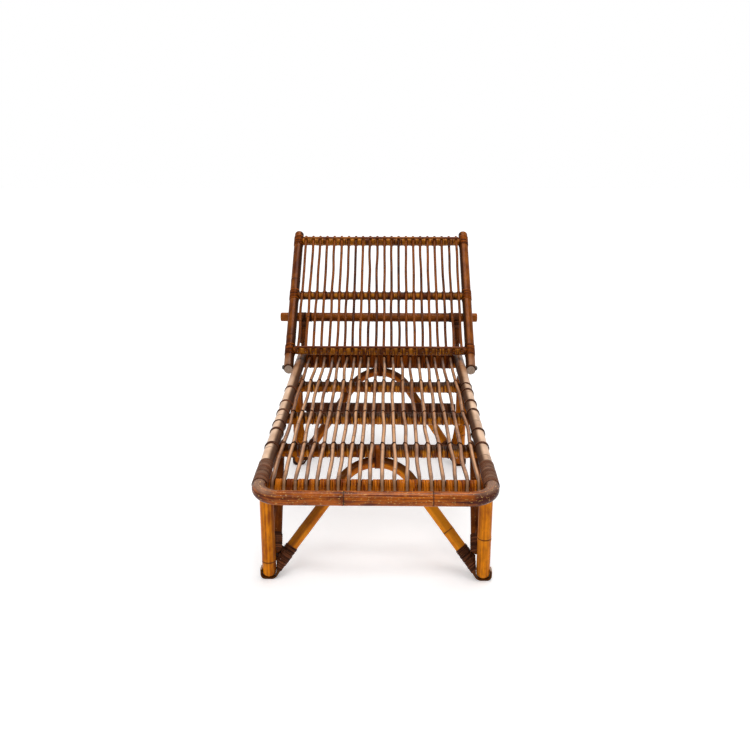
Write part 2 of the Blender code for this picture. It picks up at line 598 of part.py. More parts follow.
# Prop
bar_middle = PROP_BAR_SHIFT
points, factors = rounded_run((bar_middle - PROP_BAR_LENGTH / 2, 0.0, STRUT_LENGTH),
                              (bar_middle + PROP_BAR_LENGTH / 2, 0.0, STRUT_LENGTH), 0.005, 0.005)
pole("prop_bar", points, PROP_BAR_R, PROP, POST_MAT, factors=factors)
bar_cutter = cylinder("cut_prop_bar", (-PROP_BAR_LENGTH, 0.0, STRUT_LENGTH),
                      (PROP_BAR_LENGTH, 0.0, STRUT_LENGTH), PROP_BAR_R + GAP, PROP)
for side, sign in SIDES:
    x = sign * RAIL_X
    strut = pole("prop_strut_" + side, [(x, 0.0, TONGUE_LENGTH), (x, 0.0, STRUT_LENGTH)], STRUT_R, PROP,
                 POST_MAT)
    outline = [(TONGUE_WIDTH / 2 * math.cos(a), TONGUE_WIDTH / 2 * math.sin(a))
               for a in np.radians(np.arange(180.0, 361.0, 22.5))]
    outline += [(TONGUE_WIDTH / 2, TONGUE_LENGTH + STRUT_R), (-TONGUE_WIDTH / 2, TONGUE_LENGTH + STRUT_R)]
    count = len(outline)
    sheet = [(x + s * TONGUE_THICKNESS / 2, y, z) for s in (-1, 1) for y, z in outline]
    faces = [tuple(range(count)), tuple(range(count, 2 * count))]
    faces += [(i, (i + 1) % count, count + (i + 1) % count, count + i) for i in range(count)]
    boolean(strut, add_mesh("join_tongue_" + side, solid_mesh(sheet, faces), PROP, None), "UNION")
    boolean(strut, cylinder("cut_tongue_hole_" + side, (x - 2 * STRUT_R, 0.0, 0.0),
                            (x + 2 * STRUT_R, 0.0, 0.0), PIN_DIAMETER / 2 + GAP, PROP))
    boolean(strut, bar_cutter)

# Origin in the middle of the footprint, on the floor
bpy.context.view_layer.update()
graph = bpy.context.evaluated_depsgraph_get()
low_corner, high_corner = np.full(3, 1e9), np.full(3, -1e9)
for obj in PARTS.objects:
    if obj.type == "MESH":
        shape = obj.evaluated_get(graph)
        corners = np.array([shape.matrix_world @ v.co for v in shape.data.vertices])
        low_corner = np.minimum(low_corner, corners.min(axis=0))
        high_corner = np.maximum(high_corner, corners.max(axis=0))
shift = -(low_corner + high_corner) / 2
shift[2] = -low_corner[2]
ROOT.location = shift.tolist()
print("size", (high_corner - low_corner).round(4).tolist(), "shift", shift.round(5).tolist())
print("back pivot", round(pivot_y + shift[1], 5), round(pivot_z + shift[2], 5))
print("prop pin", round(pin_y + shift[1], 5), round(pin_z + shift[2], 5), "strut", round(STRUT_LENGTH, 5))
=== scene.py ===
# %% [markdown]
# # A cane chaise longue, dressed over its CAD frame
# The CAD model gives the bodies, the hinges and every length. Here each plain pole is laid again
# as a real cane, with growth rings, a slightly wandering line and varnish, and each joint gets the
# strips of peel that bind it. All shapes are grids of points worked out with numpy. One seeded source
# of random numbers gives every cane a look of its own, and the same one on each run.

# %% Load the frame
import math

import bpy
import numpy as np
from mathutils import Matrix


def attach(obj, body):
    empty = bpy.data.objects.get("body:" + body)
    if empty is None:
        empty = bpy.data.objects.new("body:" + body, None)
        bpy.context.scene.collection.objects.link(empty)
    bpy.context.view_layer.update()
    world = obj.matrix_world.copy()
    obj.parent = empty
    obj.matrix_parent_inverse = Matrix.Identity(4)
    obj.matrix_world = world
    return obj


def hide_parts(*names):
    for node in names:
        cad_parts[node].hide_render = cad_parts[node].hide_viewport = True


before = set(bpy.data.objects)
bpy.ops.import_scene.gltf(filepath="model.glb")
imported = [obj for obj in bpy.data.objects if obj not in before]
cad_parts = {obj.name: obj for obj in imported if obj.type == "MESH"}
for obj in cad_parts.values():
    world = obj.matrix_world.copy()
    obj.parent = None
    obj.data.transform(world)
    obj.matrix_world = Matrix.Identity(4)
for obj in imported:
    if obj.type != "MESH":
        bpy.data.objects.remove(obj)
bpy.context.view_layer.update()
rng = np.random.default_rng(11)

# %% [markdown]
# ## Sizes
# These are the CAD model's own lengths, in metres: the radii of the poles, and where they lie. The
# crossbars, legs, pivot and pin are given by their distance along the rails from the front, and the
# bars of the back by their distance up the posts. They are repeated here, because the frame holds
# the finished solids and not the numbers behind them.

# %% Sizes
SHIFT = np.array([0.0055, -0.74061, -0.00003])
RIM_R, RAIL_X, RIM_HEIGHT, RAIL_END = 0.018, 0.292, 0.318, 1.206
SLOPE, LEAN = math.radians(2.0), math.radians(49.0)
BAR_R, BAR_LEVEL, BARS = 0.016, -0.0218, (0.110, 0.325, 0.570, 0.860, 1.125)
SLAT_R, LEG_R, BRACE_R, ARCH_R = 0.0055, 0.0185, 0.0155, 0.016
FRONT_LEG, REAR_LEG = 0.168, 0.955
STRETCHER_R, STRETCHER_HEIGHT, STRETCHER_HALF = 0.0145, 0.180, 0.278
PIVOT_ALONG, PIN_ALONG = 1.010, 1.185
POST_R, POST_X, POST_LENGTH = 0.0175, 0.328, 0.640
BACK_BAR_R, BACK_SLAT_R = 0.014, 0.005
LOWER_BAR, MID_BAR, TOP_BAR = 0.073, 0.325, 0.596
PROP_BAR_R, PROP_BAR_UP, PROP_PLAY, STRUT_R, TONGUE = 0.0165, 0.250, 0.0005, 0.014, 0.037
GAP = 0.0003
SIDES = (("left", -1.0), ("right", 1.0))
X, Y, Z = (1, 0, 0), (0, 1, 0), (0, 0, 1)
print("rails", round(2 * (RAIL_X + RIM_R), 3), "m over the outside,", len(BARS), "crossbars")

# %% [markdown]
# ## Working frames
# The seat slopes a little, the back leans and the prop stands on its pins, so each is easier to
# draw in a frame of its own. A frame is an origin and three axes, and one matrix product carries a
# whole array of points from it into the shared frame. Turning finished objects would do it too, but
# then their places would not be in their meshes.

# %% Frames


class Place:
    """An origin and three axes, with the CAD body that its pieces ride on."""

    def __init__(self, body, origin, tilt):
        """Turn the shared axes about x by the tilt: y goes to (0, cos, sin), z to (0, -sin, cos)."""
        self.body = body
        self.origin = np.array(origin) + SHIFT
        c, s = math.cos(tilt), math.sin(tilt)
        self.axes = np.array([[1.0, 0.0, 0.0], [0.0, c, s], [0.0, -s, c]])

    def row(self, points):
        """Shared place of each point: the origin plus each coordinate times its axis."""
        return self.origin + np.asarray(points, dtype=float) @ self.axes


def seat_point(along, level=0.0):
    """y and z over the floor of a point along the rails and square above their axes."""
    c, s = math.cos(SLOPE), math.sin(SLOPE)
    return along * c - level * s, RIM_HEIGHT + along * s + level * c


FLOOR = Place("seat_frame", (0.0, 0.0, 0.0), 0.0)
SEAT = Place("seat_frame", (0.0, 0.0, RIM_HEIGHT), SLOPE)
pivot, pin = seat_point(PIVOT_ALONG), seat_point(PIN_ALONG)
BACK = Place("backrest", (0.0, *pivot), -LEAN)
behind = POST_R + PROP_BAR_R + PROP_PLAY
prop_bar = (pivot[0] + PROP_BAR_UP * math.sin(LEAN) + behind * math.cos(LEAN),
            pivot[1] + PROP_BAR_UP * math.cos(LEAN) - behind * math.sin(LEAN))
STRUT_LENGTH = math.hypot(prop_bar[0] - pin[0], prop_bar[1] - pin[1])
PROP = Place("prop", (0.0, *pin), -math.atan2(prop_bar[0] - pin[0], prop_bar[1] - pin[1]))
print("strut", round(STRUT_LENGTH, 4), "pivot", BACK.origin.round(4))

# %% [markdown]
# ## From rings of points to a piece
# A cane or a strip is a stack of rings. The builder below joins the stacks of one piece into one
# mesh and closes the ends with small fans. A curve with a bevel could be used, but a mesh keeps
# what the materials need at each point: a UV map in metres (along, around), the mask of the dark
# growth rings, which also carries painted shade, the tone, the wear, which also carries painted
# sheen, and a seed that moves the grain on from one cane to the next.

# %% Piece builder


def run_length(points):
    """Distance from the first point to each one along a closed line, and back to the first."""
    steps = np.linalg.norm(np.diff(points, axis=0, append=points[:1]), axis=1)
    return np.concatenate([[0.0], np.cumsum(steps)])


class Piece:
    """Stacks of rings that become one mesh: rows x columns of points for each stack."""

    def __init__(self):
        """Begin with no points, no faces and the four empty point masks."""
        self.points, self.quads, self.fans, self.quad_uv = [], [], [], []
        self.masks = {"rings_and_shade": [], "tone": [], "worn": [], "seed": []}
        self.total = 0

    def add(self, rings, rings_and_shade=0.0, tone=0.5, loop=False, worn=0.0):
        """Take a stack of rings: face (i, j) joins points (i, j), (i, j+1), (i+1, j+1) and (i+1, j).

        With loop the last ring is joined to the first, otherwise each end gets a fan round its middle.
        """
        shape = rows, columns = rings.shape[:2]
        i, j = np.mgrid[:rows if loop else rows - 1, :columns]
        below, right = (i + 1) % rows, (j + 1) % columns
        corners = [i * columns + j, i * columns + right, below * columns + right, below * columns + j]
        self.quads.append(np.stack(corners, -1).reshape(-1, 4) + self.total)
        along, around = run_length(rings.mean(axis=1)), run_length(rings[rows // 2])
        uv = [(along[i], around[j]), (along[i], around[j + 1]),
              (along[i + 1], around[j + 1]), (along[i + 1], around[j])]
        self.quad_uv.append(np.stack([np.stack(pair, -1) for pair in uv], 2).reshape(-1, 2))
        tone = np.asarray(tone, dtype=float)
        tone = np.broadcast_to(tone[:, None] if tone.ndim == 1 else tone, shape)
        sheets = (np.broadcast_to(rings_and_shade, shape), tone, np.broadcast_to(worn, shape),
                  np.full(shape, tone.mean()))
        self.points.append(rings.reshape(-1, 3))
        for values, sheet in zip(self.masks.values(), sheets):
            values.append(sheet.reshape(-1))
        if not loop:
            self.close_ends(rings, tone)
        self.total = sum(len(p) for p in self.points)
        return self

    def close_ends(self, rings, tone):
        """A fan of triangles from the middle of the first and of the last ring to its points."""
        rows, columns = rings.shape[:2]
        for row, hub, turned in ((0, rows * columns, True), (rows - 1, rows * columns + 1, False)):
            ring = row * columns + np.arange(columns)
            other = np.roll(ring, -1)
            pair = (other, ring) if turned else (ring, other)
            self.fans.append(np.stack([*pair, np.full(columns, hub)], -1) + self.total)
        self.points.append(rings[[0, -1]].mean(axis=1))
        ends = (np.zeros(2), tone[[0, -1], 0], np.zeros(2), np.full(2, tone.mean()))
        for values, pair in zip(self.masks.values(), ends):
            values.append(pair)

    def finish(self, name, place, materials, slot, *nodes):
        """Make the mesh object, give it its materials, and let it ride on the frame's body."""
        quads = np.concatenate(self.quads)
        fans = np.concatenate(self.fans) if self.fans else np.zeros((0, 3), dtype=int)
        points = place.row(np.concatenate(self.points))
        mesh = bpy.data.meshes.new(name)
        mesh.from_pydata(points.tolist(), [], quads.tolist() + fans.tolist())
        uv = np.concatenate([*self.quad_uv, np.zeros((3 * len(fans), 2))])
        mesh.uv_layers.new(name="cane").data.foreach_set("uv", uv.reshape(-1).astype(np.float32))
        for label, values in self.masks.items():
            layer = mesh.attributes.new(label, "FLOAT", "POINT")
            layer.data.foreach_set("value", np.concatenate(values).astype(np.float32))
        for material in materials:
            mesh.materials.append(material)
        is_end = np.arange(len(quads) + len(fans)) >= len(quads)
        cut = is_end & (len(materials) > 1)
        mesh.polygons.foreach_set("material_index", cut.astype(np.int32))
        mesh.polygons.foreach_set("use_smooth", ~is_end)
        mesh.update()
        obj = bpy.data.objects.new(name, mesh)
        bpy.context.scene.collection.objects.link(obj)
        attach(obj, place.body)
        if nodes:
            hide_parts(*nodes)
        return obj


print("three rings of eight points make", len(Piece().add(np.zeros((3, 8, 3))).quads[0]), "faces")

# %% [markdown]
# ## Node helpers
# Materials are sums of noises, so a few short functions that add one node and hand back its output
# socket keep the formulas readable. Noise is stretched by multiplying the UV map: few waves per
# metre along the cane and many around it make fibres.

# %% Node helpers


def wire(tree, *links):
    """Join each pair of sockets (out, into)."""
    for out, into in links:
        tree.links.new(out, into)


def feed(tree, socket, value):
    """Set a socket to a number or a colour, or link it where the value is another socket."""
    if isinstance(value, (int, float, tuple)):
        socket.default_value = value
    else:
        tree.links.new(value, socket)


def math_node(tree, operation, a, b, clamp=False):
    """One Math node: the operation on a and b, held between 0 and 1 where clamp is set."""
    node = tree.nodes.new("ShaderNodeMath")
    node.operation, node.use_clamp = operation, clamp
    feed(tree, node.inputs[0], a)
    feed(tree, node.inputs[1], b)
    return node.outputs[0]


def plus(tree, a, b, clamp=False):
    """a plus b."""
    return math_node(tree, "ADD", a, b, clamp)


def minus(tree, a, b, clamp=False):
    """a minus b."""
    return math_node(tree, "SUBTRACT", a, b, clamp)


def times(tree, a, b, clamp=False):
    """a times b."""
    return math_node(tree, "MULTIPLY", a, b, clamp)


def mix_colour(tree, factor, a, b):
    """Colour a where the factor is 0, b where it is 1, and a straight mix between."""
    node = tree.nodes.new("ShaderNodeMix")
    node.data_type = "RGBA"
    for place, value in ((0, factor), (6, a), (7, b)):
        feed(tree, node.inputs[place], value)
    return node.outputs[2]


def stretched_noise(tree, vector, scale, detail, roughness=0.5):
    """Noise of the vector times the scale, so scale gives the waves per metre in each direction."""
    stretch = tree.nodes.new("ShaderNodeVectorMath")
    stretch.operation = "MULTIPLY"
    stretch.inputs[1].default_value = scale
    noise = tree.nodes.new("ShaderNodeTexNoise")
    for label, value in (("Scale", 1.0), ("Detail", detail), ("Roughness", roughness)):
        noise.inputs[label].default_value = value
    wire(tree, (vector, stretch.inputs[0]), (stretch.outputs[0], noise.inputs["Vector"]))
    return noise.outputs["Fac"]


def attribute(tree, label):
    """The value that each point of a mesh carries under that name."""
    node = tree.nodes.new("ShaderNodeAttribute")
    node.attribute_name = label
    return node.outputs["Fac"]


print("node helpers ready")

# %% [markdown]
# ## The cane's skin
# Varnished cane shows long fibre streaks, soft mottling, short dark flecks, chips where the varnish
# has gone, and a dark line at each growth ring. The dark ring colour also paints shade where a mask
# asks for it, and the pale colour of rubbed places paints sheen and highlights as well as wear. One
# node group gives all of these from the UV map in metres and the four masks of the points, and each
# finish places it with its own pair of colours, so that rails, legs and slats differ as they do in a
# hand-made piece. An image could not follow every cane this closely.

# %% Skin group
SKIN_COLOURS = ("Light", "Dark", "Ring_and_shade")
SKIN_VALUES = ("Streak", "Tone spread", "Fleck", "Wear", "Sheen")
# The second colour is the pale of cane whose varnish is rubbed off; it also paints sheen and highlights.
CHIPPED, PALE_WEAR_AND_SHEEN = (0.62, 0.33, 0.085, 1.0), (0.76, 0.505, 0.335, 1.0)


def grain_vector(tree, seed):
    """The UV map moved along and around by multiples of the seed, so that no two canes match."""
    uv = tree.nodes.new("ShaderNodeUVMap")
    uv.uv_map = "cane"
    move = tree.nodes.new("ShaderNodeCombineXYZ")
    moved = tree.nodes.new("ShaderNodeVectorMath")
    wire(tree, (times(tree, seed, 7.3), move.inputs[0]), (times(tree, seed, 0.9), move.inputs[1]),
         (uv.outputs[0], moved.inputs[0]), (move.outputs[0], moved.inputs[1]))
    return moved.outputs[0]


def skin_group():
    """Colour, roughness and height of a cane's skin.

    The light colour's weight is streak noise + 1.9 mottle + 1.3 patches + the tone's share - 1.1. Over
    that mix come flecks, chips, rubbed places with painted sheen, and growth rings with painted shade,
    each through its own mask.
    """
    tree = bpy.data.node_groups.new("cane_skin", "ShaderNodeTree")
    for label in SKIN_COLOURS + SKIN_VALUES:
        kind = "NodeSocketColor" if label in SKIN_COLOURS else "NodeSocketFloat"
        tree.interface.new_socket(label, in_out="INPUT", socket_type=kind)
    for label, kind in (("Color", "NodeSocketColor"), ("Roughness", "NodeSocketFloat"),
                        ("Height", "NodeSocketFloat")):
        tree.interface.new_socket(label, in_out="OUTPUT", socket_type=kind)
    given, out = tree.nodes.new("NodeGroupInput").outputs, tree.nodes.new("NodeGroupOutput").inputs
    rings_and_shade, tone, wear_and_highlight, seed = (attribute(tree, label) for label in ("rings_and_shade", "tone", "worn", "seed"))
    vector = grain_vector(tree, seed)
    streak = stretched_noise(tree, vector, (5.0, 260.0, 1.0), 4.0, 0.6)
    mottle = stretched_noise(tree, vector, (11.0, 24.0, 1.0), 3.0)
    patch = stretched_noise(tree, vector, (34.0, 70.0, 1.0), 2.0)
    fleck = stretched_noise(tree, vector, (95.0, 620.0, 1.0), 2.0, 0.6)
    chip = stretched_noise(tree, vector, (130.0, 260.0, 1.0), 3.0, 0.6)
    weight = times(tree, minus(tree, streak, 0.5), given["Streak"])
    weight = plus(tree, weight, times(tree, mottle, 1.9))
    weight = plus(tree, weight, times(tree, patch, 1.3))
    weight = plus(tree, weight, times(tree, minus(tree, tone, 0.5), given["Tone spread"]))
    weight = minus(tree, weight, 1.1, clamp=True)
    colour = mix_colour(tree, weight, given["Dark"], given["Light"])
    specks = times(tree, minus(tree, fleck, 0.60), 9.0, clamp=True)
    specks = times(tree, specks, given["Fleck"])
    colour = mix_colour(tree, specks, colour, given["Ring_and_shade"])
    chip = plus(tree, chip, times(tree, given["Wear"], 0.10))
    chipped = times(tree, minus(tree, chip, 0.70), 14.0, clamp=True)
    colour = mix_colour(tree, times(tree, chipped, given["Wear"]), colour, CHIPPED)
    # Rubbed places turn pale: in part real wear, in part a painted highlight on upward sides.
    pale_share = times(tree, plus(tree, times(tree, mottle, 1.6), 0.2), wear_and_highlight, clamp=True)
    colour = mix_colour(tree, pale_share, colour, PALE_WEAR_AND_SHEEN)
    # The ring colour over this mask paints the growth rings, and painted shade where the mask carries it.
    colour = mix_colour(tree, times(tree, rings_and_shade, 0.96, clamp=True), colour, given["Ring_and_shade"])
    rough = plus(tree, given["Sheen"], times(tree, streak, 0.16))
    rough = plus(tree, rough, times(tree, rings_and_shade, 0.25), clamp=True)
    height = minus(tree, streak, times(tree, specks, 0.8))
    wire(tree, (colour, out["Color"]), (rough, out["Roughness"]), (height, out["Height"]))
    return tree


SKIN = skin_group()
print("skin group sockets", len(SKIN.interface.items_tree))

# %% [markdown]
# ## Finishes of cane and peel
# The seat and back slats are satin and tan, the poles glossier, from amber legs to red-brown rails,
# and the peel is a dark satin strip. Gloss comes from a clear coat, as the real varnish does. Each
# finish is the same surface with its own light and dark colour, so all of them age alike, and one
# function can make them all.

# %% Finish recipe


def principled(name):
    """A new node material: itself, its node tree and its Principled shader."""
    mat = bpy.data.materials.new(name)
    mat.use_nodes = True
    return mat, mat.node_tree, mat.node_tree.nodes["Principled BSDF"]


def relief_node(tree, strength, distance):
    """A Bump node of fixed strength and height, in metres."""
    relief = tree.nodes.new("ShaderNodeBump")
    relief.inputs["Strength"].default_value = strength
    relief.inputs["Distance"].default_value = distance
    return relief


# A finish's ring colour is the dark of its growth rings and flecks, and also of its painted shade.
def cane_finish(name, light, dark, streak=1.2, tone=0.6, fleck=0.5, wear=0.15, sheen=0.24, gloss=0.03,
                coat=0.06, varnish=0.08, ring=(0.030, 0.009, 0.003)):
    """A Principled surface fed by the skin group, with a thin clear coat of varnish."""
    mat, tree, shader = principled(name)
    skin = tree.nodes.new("ShaderNodeGroup")
    skin.node_tree = SKIN
    for label, colour in zip(SKIN_COLOURS, (light, dark, ring)):
        skin.inputs[label].default_value = (*colour, 1.0)
    for label, value in zip(SKIN_VALUES, (streak, tone, fleck, wear, sheen)):
        skin.inputs[label].default_value = value
    relief = relief_node(tree, 0.3, 0.0006)
    shader.inputs["Specular IOR Level"].default_value = gloss
    shader.inputs["Coat Weight"].default_value = coat
    shader.inputs["Coat Roughness"].default_value = varnish
    wire(tree, (skin.outputs["Color"], shader.inputs["Base Color"]),
         (skin.outputs["Roughness"], shader.inputs["Roughness"]),
         (skin.outputs["Height"], relief.inputs["Height"]),
         (relief.outputs["Normal"], shader.inputs["Normal"]))
    return mat


def peel_finish(name, light, dark, tone, ring, **varnished):
    """A cane finish with the stronger streaks and fewer flecks of split peel."""
    return cane_finish(name, light, dark, streak=1.6, tone=tone, fleck=0.3, ring=ring, **varnished)


print("inputs of a finish", SKIN_COLOURS + SKIN_VALUES)

# %% [markdown]
# ## The colours
# Each kind of pole has its own pair of colours, for its light fibres and its dark ones, set by comparing
# renders with the photo. They are linear values, so they look darker as numbers than as paint. The
# front rail has the most varnish and the most chips, and the crossbars under the seat are dull.

# %% Cane and peel finishes
FRONT = cane_finish("front_rail_cane", (0.53, 0.120, 0.003), (0.070, 0.008, 0.001), streak=2.8,
                    wear=1.05, gloss=0.01, coat=0.28, varnish=0.05)
RIM = cane_finish("side_rail_cane", (0.30, 0.115, 0.036), (0.060, 0.014, 0.003), streak=2.0,
                  tone=1.0, gloss=0.06)
ARCH = cane_finish("arch_cane", (0.92, 0.310, 0.007), (0.44, 0.100, 0.002), tone=0.7, gloss=0.06,
                   coat=0.08)
LEG = cane_finish("leg_cane", (0.90, 0.280, 0.003), (0.36, 0.078, 0.001), streak=1.5, gloss=0.05,
                  coat=0.10)
BRACE = cane_finish("brace_cane", (0.20, 0.050, 0.005), (0.050, 0.010, 0.002), wear=0.6)
BAR = cane_finish("crossbar_cane", (0.48, 0.142, 0.008), (0.16, 0.034, 0.003), sheen=0.5, gloss=0.0,
                  coat=0.0, ring=(0.020, 0.006, 0.002))
SLAT = cane_finish("seat_slat_cane", (0.66, 0.325, 0.140), (0.23, 0.078, 0.022), streak=1.6, tone=1.1,
                   sheen=0.20, gloss=0.30, coat=0.18, ring=(0.055, 0.015, 0.003))
POST = cane_finish("post_cane", (0.31, 0.083, 0.005), (0.080, 0.014, 0.001), tone=0.8, coat=0.10)
BACK_SLAT = cane_finish("back_slat_cane", (0.23, 0.058, 0.005), (0.040, 0.008, 0.001), tone=1.2)
DARK = cane_finish("stretcher_cane", (0.13, 0.036, 0.006), (0.035, 0.008, 0.002))
PEEL = peel_finish("peel_strip", (0.17, 0.056, 0.022), (0.045, 0.012, 0.004), 1.3, (0.012, 0.004, 0.002))
RED_PEEL = peel_finish("red_peel_strip", (0.31, 0.070, 0.004), (0.065, 0.011, 0.001), 1.5,
                       (0.012, 0.003, 0.001))
GOLD_PEEL = peel_finish("golden_peel_strip", (0.66, 0.232, 0.012), (0.150, 0.031, 0.003), 1.6,
                        (0.016, 0.004, 0.001), gloss=0.12, coat=0.14)
AMBER_PEEL = peel_finish("amber_peel_strip", (0.58, 0.160, 0.006), (0.170, 0.030, 0.002), 1.2,
                         (0.016, 0.004, 0.001))
print("finishes", len(bpy.data.materials))

# %% [markdown]
# ## Cut ends and steel
# A cut end shows the cane's pores: a pale round of fine dark dots. Ends have no UV map of their own,
# so the dots are cells in Object coordinates. The bolts are blackened steel with a faint cloud of
# wear in their roughness, from the same nodes. Their CAD shape is right, so they only get a material.

# %% Cut ends and steel


def dotted(name, light, dark, cell, rough, metal=0.0):
    """Dark dots at cell centres: the mix to light is 1.7 times the distance times (cloud + 0.3)."""
    mat, tree, shader = principled(name)
    where = tree.nodes.new("ShaderNodeTexCoord").outputs["Object"]
    dots = tree.nodes.new("ShaderNodeTexVoronoi")
    dots.inputs["Scale"].default_value = cell
    clouds = tree.nodes.new("ShaderNodeTexNoise")
    clouds.inputs["Scale"].default_value = cell * 0.3
    wire(tree, (where, dots.inputs["Vector"]), (where, clouds.inputs["Vector"]))
    cloud = clouds.outputs["Fac"]
    edge = times(tree, dots.outputs["Distance"], 1.7, clamp=True)
    grain = times(tree, edge, plus(tree, cloud, 0.3), clamp=True)
    colour = mix_colour(tree, grain, (*dark, 1.0), (*light, 1.0))
    roughness = plus(tree, times(tree, cloud, 0.3), rough, clamp=True)
    relief = relief_node(tree, 0.2, 0.0003)
    shader.inputs["Metallic"].default_value = metal
    wire(tree, (colour, shader.inputs["Base Color"]), (roughness, shader.inputs["Roughness"]),
         (grain, relief.inputs["Height"]), (relief.outputs["Normal"], shader.inputs["Normal"]))
    return mat


CUT_END = dotted("cut_end", (0.60, 0.45, 0.34), (0.12, 0.064, 0.033), 420.0, 0.50)
STEEL = dotted("black_steel", (0.11, 0.105, 0.10), (0.045, 0.042, 0.040), 350.0, 0.30, 1.0)
steel_nodes = [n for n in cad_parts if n.startswith(("pivot_bolt", "prop_pin"))]
for node in steel_nodes:
    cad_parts[node].data.materials.clear()
    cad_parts[node].data.materials.append(STEEL)
print("steel on", steel_nodes)

# %% [markdown]
# ## Growth rings and hand-laid lines
# A cane grows in lengths of a hand or two. Where two meet it swells a little, and a thin dark groove
# runs round it. No cane is quite straight either. Both could be left to a bump map, but the outline
# would stay ruled, so the radius and the centre line themselves carry them.

# %% Growth rings and drift
RING_STEPS = np.array([-12, -8, -5, -3.2, -2, -1, 0, 1, 2, 3.2, 5, 8, 12]) * 0.001
DOME_STEPS = np.array([0.0, 0.03, 0.1, 0.22, 0.4, 0.65, 1.0])
SWELL, SWELL_WIDTH = 0.040, 0.0075
GROOVE, GROOVE_AT, GROOVE_WIDTH = 0.050, 0.0012, 0.0013
LINE_AT, LINE_WIDTH = 0.0010, 0.0017


def station_rows(length, knots, dome, step):
    """Distances of the rings along a cane: even steps, closer at the knots and at domed ends."""
    rows = [np.linspace(0.0, length, max(3, int(length / step)))]
    rows += [k + RING_STEPS for k in knots]
    for depth, end in ((dome[0], 0.0), (dome[1], length)):
        if depth > 0.0:
            rows.append(abs(end - depth * DOME_STEPS))
    rows = np.unique(np.concatenate(rows).round(5))
    return rows[(rows >= 0.0) & (rows <= length)]


def knot_shape(rows, knots):
    """Radius factor and dark mask: bell curves for a wide swell, a thin groove and its dark line."""
    away = rows[:, None] - np.array(knots)[None] if len(knots) else np.full((len(rows), 1), 9.0)
    swell = SWELL * np.exp(-(away / SWELL_WIDTH) ** 2)
    groove = GROOVE * np.exp(-((away - GROOVE_AT) / GROOVE_WIDTH) ** 2)
    mask = np.exp(-((away - LINE_AT) / LINE_WIDTH) ** 2)
    return 1.0 + (swell - groove).sum(axis=1), mask.sum(axis=1)


def knots_along(length, spacing=0.24, first=None):
    """Places of growth rings: even with a seeded scatter."""
    start = rng.uniform(0.3, 0.9) * spacing if first is None else first
    places = np.arange(start, length - 0.02, spacing)
    return places + rng.uniform(-0.02, 0.02, len(places))


def wander(rows, length, amount, phase):
    """Sideways drift that is nothing at both ends: two sines under a half-sine window."""
    u = rows / length
    waves = np.sin(5.1 * u + phase) + 0.5 * np.sin(13.0 * u + 2.3 * phase)
    return amount * np.sin(math.pi * u) * waves


def hand_laid(rows, marks, swing):
    """Sideways line of a slat: seeded offsets at the marks, joined by half-cosine steps."""
    offsets = rng.uniform(-1.0, 1.0, len(marks)) * np.asarray(swing)
    place = np.clip(np.searchsorted(marks, rows) - 1, 0, len(marks) - 2)
    u = np.clip((rows - marks[place]) / (marks[place + 1] - marks[place]), 0.0, 1.0)
    return offsets[place] + (offsets[place + 1] - offsets[place]) * (0.5 - 0.5 * np.cos(math.pi * u))


print("rings on a metre of cane", len(station_rows(1.0, (0.5,), (0.0, 0.0), 0.010)))

# %% [markdown]
# ## Coped ends
# Where one pole meets another square on, its end is hollowed to sit on it, which a joiner calls a
# cope. A boolean cut would leave ragged faces, so the points near the end slide along the cane until
# the last ring lies on the other pole's cylinder.

# %% Coped ends
COPE_ZONE = 0.045


def cylinder_hits(points, along, centre, axis, radius):
    """First and last distance at which lines from points along a direction meet a cylinder.

    Square to the axis, distance t solves a t^2 + 2 b t + c = 0.
    """
    axis = np.array(axis) / np.linalg.norm(axis)
    d = along - axis * (along @ axis)
    m = points - np.array(centre)
    m = m - (m @ axis)[:, None] * axis
    a, b = d @ d, m @ d
    root = b * b - a * ((m * m).sum(axis=1) - radius * radius)
    hit = root > 0.0
    root = np.sqrt(np.where(hit, root, 0.0))
    return hit, (-b - root) / a, (-b + root) / a


def coped(rings, centre, rows, path, length, cope_start, cope_end):
    """Slide points along a straight cane: in each end zone 0 goes to the hit and the inner edge stays."""
    along = (path[-1] - path[0]) / length
    base = (rings - centre[:, None])[len(rows) // 2] + path[0]
    spread = np.broadcast_to(rows[:, None], rings.shape[:2])
    zone = min(COPE_ZONE, length * 0.3)
    if cope_start is not None:
        hit, _, last = cylinder_hits(base, along, *cope_start)
        begin = np.where(hit, np.maximum(last, 0.0), 0.0)
        spread = np.where(spread < zone, begin + (zone - begin) * spread / zone, spread)
    if cope_end is not None:
        hit, first, _ = cylinder_hits(base, along, *cope_end)
        stop = np.where(hit & (first > length * 0.5), np.minimum(first, length), length)
        edge = length - zone
        spread = np.where(spread > edge, edge + (stop - edge) * (spread - edge) / zone, spread)
    return rings + along * (spread - rows[:, None])[..., None]


print("cope zone", COPE_ZONE, "m at most")

# %% [markdown]
# ## A cane along a line
# A cane is a ring carried along a path. Its radius swells and then pinches at each growth ring, it
# wanders a little to the side, and an end is domed or coped. The path lies in a plane, so one fixed
# side vector keeps every ring square to it, and nothing twists.

# %% Cane rings
POLE_COLUMNS, BAR_COLUMNS, SLAT_COLUMNS, THIN_COLUMNS = 36, 28, 14, 12
FULL_TURN, OVAL, UP_PHASE = 6.28, 0.010, 1.7


